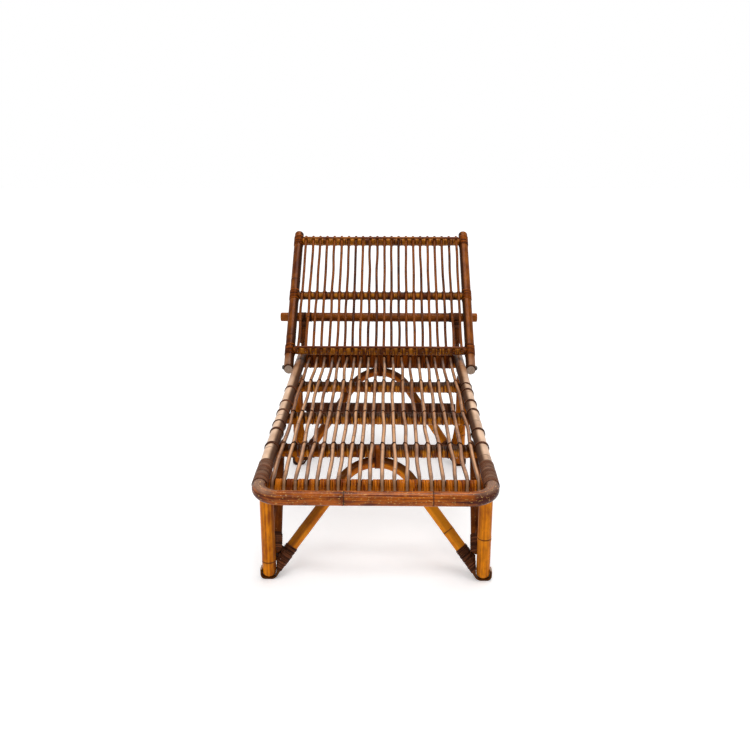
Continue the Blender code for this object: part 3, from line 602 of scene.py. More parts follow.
def cane_rings(path, radius, side, columns, knots=(), dome=(0.0, 0.0), taper=None, drift=0.0, drift_up=0.0,
               laid=None, blunt=0.90, cope_start=None, cope_end=None, step=0.010):
    """Rings c(s) + r(s) (side cos t + up sin t) along a planar path, with knots, drift and end cuts."""
    path, side = np.array(path, dtype=float), np.array(side, dtype=float)
    marks = np.concatenate([[0.0], np.cumsum(np.linalg.norm(np.diff(path, axis=0), axis=1))])
    length = marks[-1]
    rows = station_rows(length, knots, dome, step)
    centre = np.stack([np.interp(rows, marks, path[:, k]) for k in range(3)], axis=1)
    slope = np.stack([np.gradient(centre[:, k], rows) for k in range(3)], axis=1)
    slope /= np.linalg.norm(slope, axis=1, keepdims=True)
    up = np.cross(slope, side)
    up /= np.linalg.norm(up, axis=1, keepdims=True)
    factor, mask = knot_shape(rows, knots)
    if taper is not None:
        factor = factor * np.interp(rows, taper[0], taper[1])
    for depth, far in ((dome[0], rows), (dome[1], length - rows)):
        if depth > 0.0:
            inside = np.clip(1.0 - far / depth, 0.0, 1.0)
            factor = factor * np.sqrt(np.clip(1.0 - blunt * inside ** 2, 0.02, 1.0))
    phase = rng.uniform(0.0, FULL_TURN)
    centre = centre + side * wander(rows, length, drift, phase)[:, None]
    centre = centre + up * wander(rows, length, drift_up, phase + UP_PHASE)[:, None]
    if laid is not None:
        centre = centre + side * hand_laid(rows, *laid)[:, None]
    turn = np.arange(columns) * 2.0 * np.pi / columns
    reach = radius * factor[:, None] * (1.0 + OVAL * np.cos(2 * turn + phase))[None]
    spokes = np.cos(turn)[None, :, None] * side + np.sin(turn)[None, :, None] * up[:, None]
    rings = centre[:, None] + reach[..., None] * spokes
    if cope_start is not None or cope_end is not None:
        rings = coped(rings, centre, rows, path, length, cope_start, cope_end)
    return rings, mask[:, None]


print("points round a pole", POLE_COLUMNS, "a bar", BAR_COLUMNS, "a slat", SLAT_COLUMNS)

# %% [markdown]
# ## Painted shade and highlights, and wear
# Darkening is painted between and under the canes and on sides turned from the lamps, mostly as shade
# and in places as dirt, and tops are painted paler, partly as a highlight and partly as varnish rubbed
# off where hands and legs slide. Both follow the direction a point looks in and its place, so they are
# worked out here for each point and ride along as masks. They look the same from every side.

# %% Mask helpers


def facing(rings, direction):
    """How far each point of a stack of rings looks that way: 1 towards it, -1 away from it."""
    out = rings - rings.mean(axis=1, keepdims=True)
    return out @ np.array(direction, dtype=float) / np.linalg.norm(out, axis=2)


def side_of(rings, centre, direction):
    """How far points round a bar along x lie to one side of it, in y and z: 1 there, -1 opposite."""
    out = (rings - np.array(centre))[..., 1:]
    return out @ np.array(direction) / np.linalg.norm(out, axis=-1)


def ramp(values, start, span, most=1.0):
    """Nothing up to the start, then rising evenly to 1 over the span, but never above most."""
    return np.clip((values - start) / span, 0.0, most)


print("a ramp from 0 over 4:", ramp(np.arange(6), 0.0, 4.0).tolist())

# %% [markdown]
# ## The front rail
# The front rail is one cane steamed round both corners. Its two growth rings show in front. Half of
# the path is a straight line and a quarter circle, and the other half is its mirror image.

# %% Front rail
BEND_R, LAP = 0.062, 0.042
TAIL = BEND_R + LAP
bend = np.linspace(0.0, math.pi / 2, 28)
corner = np.stack([RAIL_X - BEND_R * (1 - np.sin(bend)), BEND_R * (1 - np.cos(bend)), 0 * bend], axis=1)
half = np.concatenate([corner, [[RAIL_X, TAIL, 0.0]]])
front_path = np.concatenate([half[::-1] * (-1, 1, 1), half])
front_length = np.linalg.norm(np.diff(front_path, axis=0), axis=1).sum()
front_knots = front_length / 2 + np.array([-0.077, 0.141])
rings, mask = cane_rings(front_path, RIM_R, Z, POLE_COLUMNS, front_knots, step=0.006)
bent = ramp(np.abs(rings[..., 0]), 0.235, 0.04)
# The tops of the bends are painted pale, partly as rubbed varnish and partly as a painted highlight.
wear_and_highlight = 0.24 * bent * ramp(facing(rings, Z), 0.45, 0.4)
Piece().add(rings, mask, 0.42 - 0.95 * bent, worn=wear_and_highlight).finish(
    "cane_front_rail", SEAT, (FRONT, CUT_END), "rattan_pole", "front_rail")
print("front rail", round(front_length, 3), "m")

# %% [markdown]
# ## The side rails
# The side rails carry on from the front rail. Their tops are pale, partly worn and partly a painted
# highlight, and the side towards the slats is painted dark as shade. At their rear ends a slot takes
# the tongue of the prop's strut. Cutting it out would need a boolean, so the last stretch is drawn as
# two cheeks.

# %% Side rails
SLOT_HALF, SLOT_START, SLOT_LAP = 0.0080, 1.150, 0.004
# The second table sets how pale each rail's top is painted, for wear and for a painted highlight.
RAIL_TONE, RAIL_WEAR_AND_SHEEN = {"left": 0.62, "right": 0.50}, {"left": 0.95, "right": 0.84}


def cheek(sign, low, high):
    """Half of the slotted rail end: the arc beyond the slot and its chord, drawn out along y."""
    reach = math.acos(SLOT_HALF / RIM_R)
    arc = np.linspace(-reach, reach, 20)
    flat = np.linspace(0.9, -0.9, 6)[:, None] * [0.0, RIM_R * math.sin(reach)] + [SLOT_HALF, 0.0]
    outline = np.concatenate([np.stack([RIM_R * np.cos(arc), RIM_R * np.sin(arc)], 1), flat])
    y = np.linspace(low, high, 8)
    ring = np.stack([sign * outline[:, 0], 0 * outline[:, 0], outline[:, 1]], 1)
    rings = ring[None] + np.stack([0 * y, y, 0 * y], 1)[:, None]
    return rings[:, ::-1] if sign > 0 else rings


for side, sign in SIDES:
    x = sign * RAIL_X
    path = [(x, TAIL + GAP, 0.0), (x, SLOT_START, 0.0)]
    rings, mask = cane_rings(path, RIM_R, X, POLE_COLUMNS, knots_along(1.04, 0.26), drift=0.0008,
                             drift_up=0.0008)
    y = rings[..., 1]
    # How far each point faces up; the tone rises with it as painted light.
    top = np.clip(facing(rings, (0.3 * sign, 0.0, 1.0)), -0.4, 1.0)
    # Painted shade on the side that faces the slats.
    inner = ramp(facing(rings, (-sign, 0.0, 0.15)), 0.24, 0.45, 0.88)
    patchy = RAIL_WEAR_AND_SHEEN[side] + 0.30 * np.sin(y * 17.0 + sign) * np.sin(y * 41.0)
    patchy = patchy * np.clip((1.03 - y) / 0.30, 0.05, 1.0)
    # Pale top, partly wear and partly a painted highlight, kept off the shaded inner side.
    worn = np.clip(1.6 * top - 0.22, 0.0, 1.0) * patchy * (1.0 - 0.8 * inner)
    piece = Piece().add(rings, np.maximum(mask, inner), RAIL_TONE[side] - 0.1 + 0.25 * top, worn=worn)
    for half_sign in (-1.0, 1.0):
        piece.add(cheek(half_sign, SLOT_START - SLOT_LAP, RAIL_END) + (x, 0.0, 0.0), tone=RAIL_TONE[side])
    piece.finish("cane_side_rail_" + side, SEAT, (RIM, CUT_END), "rattan_pole", "side_rail_" + side)
print("side rails", round(RAIL_END - TAIL, 3), "m")

# %% [markdown]
# ## Crossbars
# Five crossbars join the rails under the slats. Each is hollowed at its ends where the rail sits on
# it, the first one a little more, because the corner winding lies between. The top of each bar, under
# the slats, is painted dark, mostly as the slats' shade and in part as dirt, and the mask of the
# growth rings carries that too.

# %% Crossbars
BAR_REACH, WRAP = RAIL_X + 0.004, 0.0032


def rail_cope(room):
    """The rail's cylinder, widened by the room left round it, for the left and the right end."""
    return [((sign * RAIL_X, 0.0, 0.0), Y, RIM_R + room) for side, sign in SIDES]


for number, along in enumerate(BARS):
    start, end = rail_cope(WRAP if number == 0 else GAP)
    path = [(-BAR_REACH, along, BAR_LEVEL), (BAR_REACH, along, BAR_LEVEL)]
    rings, mask = cane_rings(path, BAR_R, Z, BAR_COLUMNS, knots_along(0.59, 0.21), cope_start=start,
                             cope_end=end)
    # Painted shade of the slats, with some dirt, darkens the top of the bar.
    shade_and_grime = ramp(facing(rings, (0.0, 0.25, 1.0)), 0.06, 0.22, 0.97)
    name = "seat_crossbar_" + str(number + 1)
    Piece().add(rings, np.maximum(mask, shade_and_grime), rng.uniform(0.3, 0.7)).finish(
        "cane_" + name, SEAT, (BAR, CUT_END), "rattan_pole", name)
print("crossbars", len(BARS))

# %% [markdown]
# ## Seat slats
# The slats are thin whole canes laid by hand, so they wander a few millimetres sideways between the
# bars, where nothing holds them. They bend down over the front bar and get thinner there. Each flank
# is painted darker than the top as shade, and so are the ends bent down over the front bar.

# %% Seat slats
index = np.arange(19) - 9.0
SLAT_EDGE = RAIL_X - RIM_R - 0.0055 - SLAT_R
SLAT_X = index * SLAT_EDGE / 9.0 - 0.0135 * np.exp(-(index / 4.0) ** 2)
SLAT_END, SLAT_DROP = BARS[-1] + 0.020, 0.014
bend = np.radians(np.linspace(0.0, 85.0, 14))
over = BAR_R + GAP + SLAT_R
front_bend = np.stack([0 * bend, BARS[0] - over * np.sin(bend), BAR_LEVEL + over * np.cos(bend)], axis=1)
slat_path = np.concatenate([[[0.0, SLAT_END, 0.0]], front_bend, front_bend[-1:] - [[0.0, 0.0, SLAT_DROP]]])
slat_length = np.linalg.norm(np.diff(slat_path, axis=0), axis=1).sum()
bar_marks = SLAT_END - np.array(BARS[::-1])
between = (bar_marks[1:] + bar_marks[:-1]) / 2
laid_marks = np.sort(np.concatenate([[0.0], bar_marks, between, [slat_length]]))
laid_swing = np.where(np.isin(laid_marks, bar_marks), 0.0012, 0.0042)
laid_swing[[0, -1]] = 0.0015
slat_taper = ((0.0, slat_length - 0.060, slat_length), (1.0, 1.0, 0.62))
for number, x in enumerate(SLAT_X):
    rings, mask = cane_rings(slat_path + (x, 0, 0), SLAT_R, X, SLAT_COLUMNS, knots_along(slat_length, 0.30),
                             taper=slat_taper, laid=(laid_marks, laid_swing))
    # Painted shade on the flanks and on the ends bent down over the front bar.
    shaded_flank = ramp(np.abs(facing(rings, X)), 0.44, 0.36, 0.88)
    shade = np.maximum(shaded_flank, ramp(BARS[0] + 0.030 - rings[..., 1], 0.0, 0.04, 0.66))
    tone = rng.uniform(0.15, 0.85) + 0.22 - 0.42 * rings[..., 1]
    name = "seat_slat_" + str(number + 1).zfill(2)
    Piece().add(rings, np.maximum(mask, shade), tone).finish(
        "cane_" + name, SEAT, (SLAT, CUT_END), "rattan_slat", name)
print("slats", len(SLAT_X), "of", round(slat_length, 3), "m")

# %% [markdown]
# ## Legs and side braces
# The legs are round-toed canes that stand in the strap of the arch and reach up to the rails, with
# fibres that streak them from top to toe. The braces run from leg to rail, coped at both ends. A leg
# and its brace are made together, so each pair shares one pass of the loop.

# %% Legs and braces
LEG_FOOT, FIRST_RING = 0.0053, {"frontleft": 0.062, "frontright": 0.104}
BRACE_IN, BRACE_RUN, BRACE_SINK, TOE_HEIGHT = 0.009, 0.230, 0.008, 0.070
rail_axis = (0.0, math.cos(SLOPE), math.sin(SLOPE))
BRACES = {}


def make_leg(end, side, sign, leg_y, rail):
    """A cane straight up to the rail; its tone adds two sines of the column, which run as streaks."""
    x, top = sign * RAIL_X, seat_point(leg_y)[1]
    knots = knots_along(top, 0.19, FIRST_RING.get(end + side, 0.12))
    rings, mask = cane_rings([(x, leg_y, LEG_FOOT), (x, leg_y, top)], LEG_R, X, POLE_COLUMNS, knots,
                             dome=(0.014, 0.0), cope_end=rail)
    # Painted shade on the side of the leg that faces in and back.
    shade = ramp(facing(rings, (-sign, 0.25, 0.0)), 0.25, 0.7, 0.45 if side == "left" else 0.25)
    tone = rng.uniform(0.4, 0.7) + 0.06 * sign - (0.45 if end == "rear" else 0.0)
    column = np.arange(POLE_COLUMNS)
    streaks = (0.19 - 0.10 * sign) * (np.sin(2.1 * column) + np.sin(4.7 * column + 1.0))
    Piece().add(rings, np.maximum(mask, shade), tone + streaks * np.ones((len(rings), 1))).finish(
        "cane_" + end + "_leg_" + side, FLOOR, (LEG, CUT_END), "rattan_pole", end + "_leg_" + side)


def make_brace(end, side, sign, leg_y, towards, rail):
    """A cane from the leg's foot to a point further along under the rail."""
    x = sign * (RAIL_X - BRACE_IN)
    toe = (x - sign * BRACE_IN, leg_y + towards * LEG_R / 2, TOE_HEIGHT)
    head = (x, *seat_point(leg_y + towards * BRACE_RUN, BRACE_SINK - RIM_R))
    leg = ((sign * RAIL_X, leg_y, 0.0), Z, LEG_R + GAP)
    BRACES[end + side] = np.array([toe, head])
    rings = cane_rings(BRACES[end + side], BRACE_R, X, 30, knots_along(0.33, 0.17), dome=(0.016, 0.0),
                       cope_start=leg, cope_end=rail)
    look = (BRACE if end == "front" else BAR,)
    Piece().add(*rings, tone=rng.uniform(0.3, 0.6)).finish(
        "cane_" + end + "_brace_" + side, FLOOR, look, "rattan_pole", end + "_brace_" + side)


for end, leg_y, towards in (("front", FRONT_LEG, 1.0), ("rear", REAR_LEG, -1.0)):
    for side, sign in SIDES:
        rail = ((sign * RAIL_X, 0.0, RIM_HEIGHT), rail_axis, RIM_R + GAP)
        make_leg(end, side, sign, leg_y, rail)
        make_brace(end, side, sign, leg_y, towards, rail)
print("legs and braces", 2 * len(BRACES))

# %% [markdown]
# ## The line of an arch
# Each arch is one bent cane whose ends are shaved to thin straps that turn under the feet and up
# their outer sides. Its inner edge is drawn as one line in the arch's own leaning plane: five simple
# parts, straight or round, that meet without a kink.

# %% Arch line
STRAP, STRAP_WIDTH, SHAVED = 0.005, 0.026, 0.042
TIP, TIP_LOW, TOE_BEND, HEEL_BEND = 0.030, 0.022, 0.014, 0.020
BOW_R, FLOOR_IN, ARCH_KNOT = 0.120 - ARCH_R, 0.017, 0.095
FEET = (("front", FRONT_LEG, BARS[1]), ("rear", REAR_LEG, BARS[4]))


def arch_plane(leg_y, bar_along):
    """Lean of the arch's plane, height of the inner edge in it, diagonal angle and floor point.

    The diagonal leaves the floor point and touches the bow's circle, which gives its angle.
    """
    bar_y, bar_z = seat_point(bar_along, BAR_LEVEL)
    rise = bar_z - BAR_R - GAP - ARCH_R
    lean, inner = math.atan2(bar_y - leg_y, rise), math.hypot(bar_y - leg_y, rise) - ARCH_R
    floor_x = RAIL_X - FLOOR_IN
    angle = math.atan2(inner - BOW_R, floor_x) + math.asin(BOW_R / math.hypot(floor_x, inner - BOW_R))
    return lean, inner, angle, floor_x


def arch_line(inner, angle, floor_x):
    """Half of the inner edge, from the strap's tip to the crown: points, outward directions, and how
    far the cane has grown from strap to round and leaned over, both from 0 to 1."""
    outer, start = RAIL_X + LEG_R + GAP + STRAP, floor_x + HEEL_BEND * math.tan(angle / 2)
    toe, heel = np.linspace(0.0, math.pi / 2, 10), np.linspace(0.0, angle, 9)
    crown = math.pi / 2 - angle * (1 - np.linspace(0.0, 1.0, 26))
    grown = np.linspace(0.0, 1.0, 14)[1:]
    low = HEEL_BEND * (1 - math.cos(angle))
    height = low + (SHAVED - low) * grown
    shaved = np.stack([floor_x - height / math.tan(angle), height], 1)
    bow = np.stack([BOW_R * np.cos(crown), inner - BOW_R + BOW_R * np.sin(crown)], 1)
    close = (ARCH_KNOT + RING_STEPS[1:-1]) / np.linalg.norm(bow[0] - shaved[-1])
    run = np.unique(np.concatenate([np.linspace(0.0, 1.0, 34)[1:-1], close]))[:, None]
    straight = shaved[-1] + (bow[0] - shaved[-1]) * run
    edge = np.concatenate([[[outer, TIP], [outer, TIP_LOW]],
                           np.stack([outer - TOE_BEND * (1 - np.cos(toe)), TOE_BEND * (1 - np.sin(toe))], 1),
                           np.stack([start - HEEL_BEND * np.sin(heel), HEEL_BEND * (1 - np.cos(heel))], 1),
                           shaved, straight, bow])
    diagonal = np.tile([[math.sin(angle), math.cos(angle)]], (len(shaved) + len(straight), 1))
    normal = np.concatenate([[[-1.0, 0.0], [-1.0, 0.0]], np.stack([-np.cos(toe), np.sin(toe)], 1),
                             np.stack([np.sin(heel), np.cos(heel)], 1), diagonal,
                             np.stack([np.cos(crown), np.sin(crown)], 1)])
    strap, full = np.zeros(2 + len(toe)), np.ones(len(straight) + len(bow))
    grow = np.concatenate([strap, 0 * heel, grown, full])
    lift = np.concatenate([strap, 0.25 * heel / angle, 0.25 + 0.75 * grown, full])
    return edge, normal, grow, lift


print("arch leans", [round(math.degrees(arch_plane(*foot[1:])[0]), 1) for foot in FEET], "degrees")

# %% [markdown]
# ## Arches
# Sections stand on that line and grow from a flat strap to the round cane. A superellipse does this
# with one number: a low power makes a near rectangle, a power of one an ellipse. The straps are darker
# towards the floor, and the upper side is painted dark, partly as shade and partly as dirt. The bow is
# darker, the rear arch darker than the front, and the right half lighter than the left.

# %% Arches
ARCHES = {}


def arch_rings(leg_y, bar_along, columns=32):
    """Rings of an arch: superellipses c + a w/2 |cos|^e + n h/2 |sin|^e from strap to round cane."""
    lean, inner, angle, floor_x = arch_plane(leg_y, bar_along)
    edge, normal, grow, lift = arch_line(inner, angle, floor_x)
    tilt = lean * lift
    marks = np.concatenate([[0.0], np.cumsum(np.linalg.norm(np.diff(edge, axis=0), axis=1))])
    swell, mask = knot_shape(marks, [marks[np.argmax(grow >= 1.0)] + ARCH_KNOT])
    thick = STRAP + (2 * ARCH_R - STRAP) * grow
    wide = STRAP_WIDTH + (2 * ARCH_R - STRAP_WIDTH) * grow
    flat = edge + normal * thick[:, None] / 2
    spot = np.stack([flat[:, 0], leg_y + flat[:, 1] * np.sin(tilt), flat[:, 1] * np.cos(tilt)], 1)
    out = np.stack([normal[:, 0], normal[:, 1] * np.sin(tilt), normal[:, 1] * np.cos(tilt)], 1)
    across = np.stack([0 * tilt, np.cos(tilt), -np.sin(tilt)], 1)
    turn = (np.arange(columns) + 0.5) * 2 * np.pi / columns
    power = (0.35 + 0.65 * grow)[:, None]
    c, s = np.cos(turn)[None], np.sin(turn)[None]
    a = np.sign(c) * np.abs(c) ** power * (wide * swell)[:, None] / 2
    b = np.sign(s) * np.abs(s) ** power * (thick * swell)[:, None] / 2
    rings = spot[:, None] + across[:, None] * a[..., None] + out[:, None] * b[..., None]
    both = np.concatenate([rings, rings[-2::-1] * (-1.0, 1.0, 1.0)])[:, ::-1]
    return both, np.concatenate([mask, 0.2 * mask[-2::-1]])[:, None]


for end, leg_y, bar_along in FEET:
    rings, mask = arch_rings(leg_y, bar_along)
    ARCHES[end] = rings
    right, height = rings[..., 0] / 0.1, rings[..., 2]
    # Darker towards the floor.
    low = ramp(0.060 - height, 0.0, 0.025, 0.95)
    # The upper side is painted dark, partly as shade and partly as dirt.
    shade_and_grime = np.maximum(low, ramp(facing(rings, Z), 0.15, 0.28, 0.85))
    bow = ramp(height, 0.19, 0.04)
    lower = (1.0 - bow) * (height > 0.07)
    shade_and_grime = shade_and_grime * (1.0 - (0.35 + 0.15 * np.clip(right, -1.0, 1.0)) * lower)
    tone = (0.60 if end == "front" else 0.15) + 0.5 * np.clip(right, -0.1, 1.0) - 0.5 * bow
    Piece().add(rings, np.maximum(mask, shade_and_grime), tone).finish(
        "cane_" + end + "_arch", FLOOR, (ARCH, CUT_END), "rattan_pole", end + "_arch")
print("arches of", [len(r) for r in ARCHES.values()], "rings")

# %% [markdown]
# ## The rear stretcher
# A straight cane lies across the front of the rear arch and keeps the rear feet apart. It touches the
# arch's leaning plane, so its place follows from the lean.

# %% Rear stretcher
lean = arch_plane(REAR_LEG, BARS[4])[0]
reach = ARCH_R + STRETCHER_R + GAP
STRETCHER = (REAR_LEG + STRETCHER_HEIGHT * math.tan(lean) - reach * math.cos(lean),
             STRETCHER_HEIGHT + reach * math.sin(lean))
path = [(-STRETCHER_HALF, *STRETCHER), (STRETCHER_HALF, *STRETCHER)]
rings = cane_rings(path, STRETCHER_R, Z, BAR_COLUMNS, knots_along(0.55, 0.2))
Piece().add(*rings, tone=0.5).finish(
    "cane_rear_stretcher", FLOOR, (DARK, CUT_END), "rattan_pole", "rear_stretcher")
print("stretcher at", np.round(STRETCHER, 4).tolist())

# %% [markdown]
# ## The posts of the back
# Two posts carry the back. Their lower ends are cut on a slant, so the rings there are sheared: each
# point moves up or down by its distance from the axis. The inner sides are painted dark as shade, and
# the cut ends have a dark rim.

# %% Back posts
SLANT, SLANT_TOP, SLANT_SPAN, POST_FOOT = math.tan(math.radians(36.0)), 0.015, 0.0325, 0.008 - POST_R
for side, sign in SIDES:
    x = sign * POST_X
    rings, mask = cane_rings([(x, 0.0, POST_FOOT), (x, 0.0, POST_LENGTH)], POST_R, X, POLE_COLUMNS,
                             knots_along(0.65, 0.25), dome=(0.003, 0.007), blunt=0.30)
    heights = rings[..., 2].copy()
    rings[..., 2] -= SLANT * rings[..., 1] * ramp(SLANT_TOP - heights, 0.0, SLANT_SPAN)
    # Painted shade on the inner side of the post.
    shaded_flank = ramp(facing(rings, (-sign, 0.1, 0.0)), 0.26, 0.20, 0.96)
    rim = ramp(-0.0035 - heights, 0.0, 0.004, 0.9)
    shade = np.maximum(np.maximum(mask, shaded_flank), rim)
    wear_and_highlight = 0.20 * ramp(0.052 - heights, 0.0, 0.03) * (1.0 - shade)
    Piece().add(rings, shade, 0.45 + 0.1 * sign, worn=wear_and_highlight).finish(
        "cane_back_post_" + side, BACK, (POST, CUT_END), "rattan_pole", "back_post_" + side)
print("posts", round(POST_LENGTH - POST_FOOT, 4), "m")

# %% [markdown]
# ## The bars and slats of the back
# Three bars join the posts, and twenty-two thin canes lie on their front. The middle bar and the canes
# are one panel in the CAD model, so they make one piece here too.

# %% Back bars and slats
BACK_SLAT_Y = -(BACK_BAR_R + BACK_SLAT_R + GAP)
BACK_SLAT_X = np.linspace(-0.297, 0.297, 22)
BACK_SLAT_LOW, BACK_SLAT_HIGH = LOWER_BAR - 0.018, TOP_BAR + 0.0125
back_laid = (np.linspace(0.0, 0.56, 7), (0.0005, 0.002, 0.002, 0.001, 0.002, 0.002, 0.0005))


def back_bar(t):
    """A straight cane from post to post at height t, coped on both."""
    left, right = (((sign * POST_X, 0.0, 0.0), Z, POST_R + GAP) for side, sign in SIDES)
    return cane_rings([(-POST_X, 0.0, t), (POST_X, 0.0, t)], BACK_BAR_R, Z, BAR_COLUMNS,
                      knots_along(0.62, 0.22), cope_start=left, cope_end=right)


for label, t in (("lower", LOWER_BAR), ("top", TOP_BAR)):
    name = "back_" + label + "_bar"
    Piece().add(*back_bar(t)).finish("cane_" + name, BACK, (POST, CUT_END), "rattan_pole", name)
panel = Piece().add(*back_bar(MID_BAR), tone=0.4)
for x in BACK_SLAT_X:
    path = [(x, BACK_SLAT_Y, BACK_SLAT_LOW), (x, BACK_SLAT_Y, BACK_SLAT_HIGH)]
    rings, mask = cane_rings(path, BACK_SLAT_R, X, SLAT_COLUMNS, knots_along(0.56, 0.26),
                             dome=(0.002, 0.002), laid=back_laid)
    panel.add(rings, mask, rng.uniform(0.2, 0.85))
panel.finish("cane_back_slat_panel", BACK, (BACK_SLAT, CUT_END), "rattan_slat", "back_slat_panel")
print("back slats", len(BACK_SLAT_X))

# %% [markdown]
# ## The prop
# A bar longer than the back is wide lies behind the posts and carries them. Two short struts hold it,
# each with a flat tongue in the slot of a rail, so the bar swings as the back is moved. A tongue is a
# flat outline with a round lower end, drawn out sideways.

# %% Prop bar and struts
PROP_LEFT, PROP_RIGHT = -0.3780, 0.3670
TONGUE_HALF, TONGUE_R = 0.0077, 0.0135
rings, mask = cane_rings([(PROP_LEFT, 0.0, STRUT_LENGTH), (PROP_RIGHT, 0.0, STRUT_LENGTH)], PROP_BAR_R, Z,
                         32, knots_along(0.74, 0.23), dome=(0.003, 0.003), blunt=0.25)
# Painted light and shade: the ends outside the back are lit, the middle behind it shaded, with a painted
# highlight along the front.
wear_and_highlight = ramp(facing(rings, (0.0, -0.95, 0.25)), 0.70, 0.25)
tone = np.where(np.abs(rings[..., 0]) > 0.33, 0.95, 0.42 + 0.55 * wear_and_highlight)
Piece().add(rings, mask, tone).finish("cane_prop_bar", PROP, (POST, CUT_END), "rattan_pole", "prop_bar")
bar = ((0.0, 0.0, STRUT_LENGTH), X, PROP_BAR_R + GAP)
a = np.linspace(math.pi, 2 * math.pi, 17)
outline = np.concatenate([np.stack([0 * a, TONGUE_R * np.cos(a), TONGUE_R * np.sin(a)], 1),
                          [[0.0, TONGUE_R, TONGUE + STRUT_R], [0.0, -TONGUE_R, TONGUE + STRUT_R]]])
tongue = outline[None] + np.linspace(-1, 1, 4)[:, None, None] * [TONGUE_HALF, 0.0, 0.0]
for side, sign in SIDES:
    x = sign * RAIL_X
    rings, mask = cane_rings([(x, 0.0, TONGUE), (x, 0.0, STRUT_LENGTH)], STRUT_R, X, BAR_COLUMNS, [0.055],
                             cope_end=bar)
    Piece().add(rings, mask, 0.4).add(tongue + [x, 0.0, 0.0], tone=0.4).finish(
        "cane_prop_strut_" + side, PROP, (BRACE,), "rattan_pole", "prop_strut_" + side)
print("prop bar", round(PROP_RIGHT - PROP_LEFT, 3), "m on struts of", round(STRUT_LENGTH, 3), "m")

# %% [markdown]
# ## Strips of peel
# Peel is the cane's outer skin, split to a flat strip. A strip is a small lens-shaped section carried
# along a path. Where a strip is wound, the path is a helix on the hull of the poles it binds: for
# each direction the pole that reaches furthest that way carries the strip, and the ends tuck under.

# %% Strip and winding
SECTION = np.array([(-0.5, 0.0), (0.5, 0.0), (0.5, 0.45), (0.22, 1.0), (-0.22, 1.0), (-0.5, 0.45)])
# Painted shade on the underside and lower edges of each strip, where it lies against the pole and the next
# turn.
EDGE_SHADE = np.array([[0.85, 0.85, 0.6, 0.0, 0.0, 0.6]])
PEEL_LOOK, TUCK = (PEEL,), 0.15


def strip_rings(path, outward, width, thick, loop=False):
    """Section set across and outward at each point of the path; across = outward x tangent."""
    if loop:
        tangent = np.roll(path, -1, axis=0) - np.roll(path, 1, axis=0)
    else:
        tangent = np.gradient(path, axis=0)
    across = np.cross(outward, tangent)
    across /= np.linalg.norm(across, axis=1, keepdims=True)
    return (path[:, None] + across[:, None] * SECTION[None, :, :1] * width
            + outward[:, None] * SECTION[None, :, 1:] * thick)


def hull(turn, hubs, lift):
    """Points and outward directions in the plane: the furthest hub at each angle, plus its radius."""
    u = np.stack([np.cos(turn), np.sin(turn)], 1)
    hubs = np.broadcast_to(np.array(hubs, dtype=float), (len(turn), *np.shape(hubs)))
    pick = ((u[:, None] * hubs[..., :2]).sum(axis=2) + hubs[..., 2]).argmax(axis=1)
    hub = hubs[np.arange(len(turn)), pick]
    return hub[:, :2] + u * (hub[:, 2:] + lift), u


def strand_tones(done):
    """A seeded tone for each turn of a winding."""
    return rng.uniform(0.05, 0.95, int(done[-1]) + 2)[done.astype(int)]


def tucked(done, turns, thick):
    """How deep a strip's two ends go under: its thickness at the end, nothing after a part of a turn."""
    return np.clip(1.0 - np.minimum(done, turns - done) / TUCK, 0.0, 1.0) * thick


def wound(origin, axis, side, hubs, turns, pitch, width, phase=0.0, thick=0.0016, per_turn=22, lift=GAP):
    """A strip wound along an axis round the hull of the hubs, which are (across, up, radius).

    At turn n it lies at angle phase + 2 pi n on the hull and pitch times n along the axis.
    """
    axis, side = (np.array(v, dtype=float) / np.linalg.norm(v) for v in (axis, side))
    up = np.cross(axis, side)
    done = np.linspace(0.0, turns, int(per_turn * turns) + 1)
    flat, u = hull(phase + 2 * np.pi * done, hubs, lift)
    flat = flat - u * tucked(done, turns, thick)[:, None]
    path = np.array(origin) + flat[:, :1] * side + flat[:, 1:] * up + axis * (pitch * done)[:, None]
    return strip_rings(path, u[:, :1] * side + u[:, 1:] * up, width, thick), EDGE_SHADE, strand_tones(done)


print("points round a strip", len(SECTION))

# %% [markdown]
# ## Other ways to lay a strip
# A shaved arch is no cylinder, so its winding runs on the arch's own grid of points. Where a pole is
# bound to another one that is in the way, strips go only part of the way round. And a slat is held to
# its bar by a closed loop that crosses it on a slant.

# %% Windings on a skin, arcs and ties
ARC_POINTS = 17


def wound_on(rings, rows, turns, width, phase=0.0, thick=0.0018, lift=0.0004, per_turn=24):
    """A strip wound on a stack of rings: it runs round the columns while it climbs between two rows.

    Each point is a mix of the four grid points round it, by how far it has come between them.
    """
    columns = rings.shape[1]
    around = np.roll(rings, -1, axis=1) - np.roll(rings, 1, axis=1)
    normal = np.cross(around, np.gradient(rings, axis=0))
    normal /= np.linalg.norm(normal, axis=2, keepdims=True)
    done = np.linspace(0.0, turns, int(per_turn * turns) + 1)
    row = np.interp(done / turns, np.linspace(0.0, 1.0, len(rows)), rows)
    column = (phase + done * columns) % columns
    i, j = row.astype(int), column.astype(int)
    f, g = (row - i)[:, None], (column - j)[:, None]
    j, j2 = j % columns, (j + 1) % columns
    path, outward = ((1 - f) * (1 - g) * a[i, j] + (1 - f) * g * a[i, j2] + f * (1 - g) * a[i + 1, j]
                     + f * g * a[i + 1, j2] for a in (rings, normal))
    path = path + outward * (lift - tucked(done, turns, thick))[:, None]
    return strip_rings(path, outward, width, thick), EDGE_SHADE, strand_tones(done)


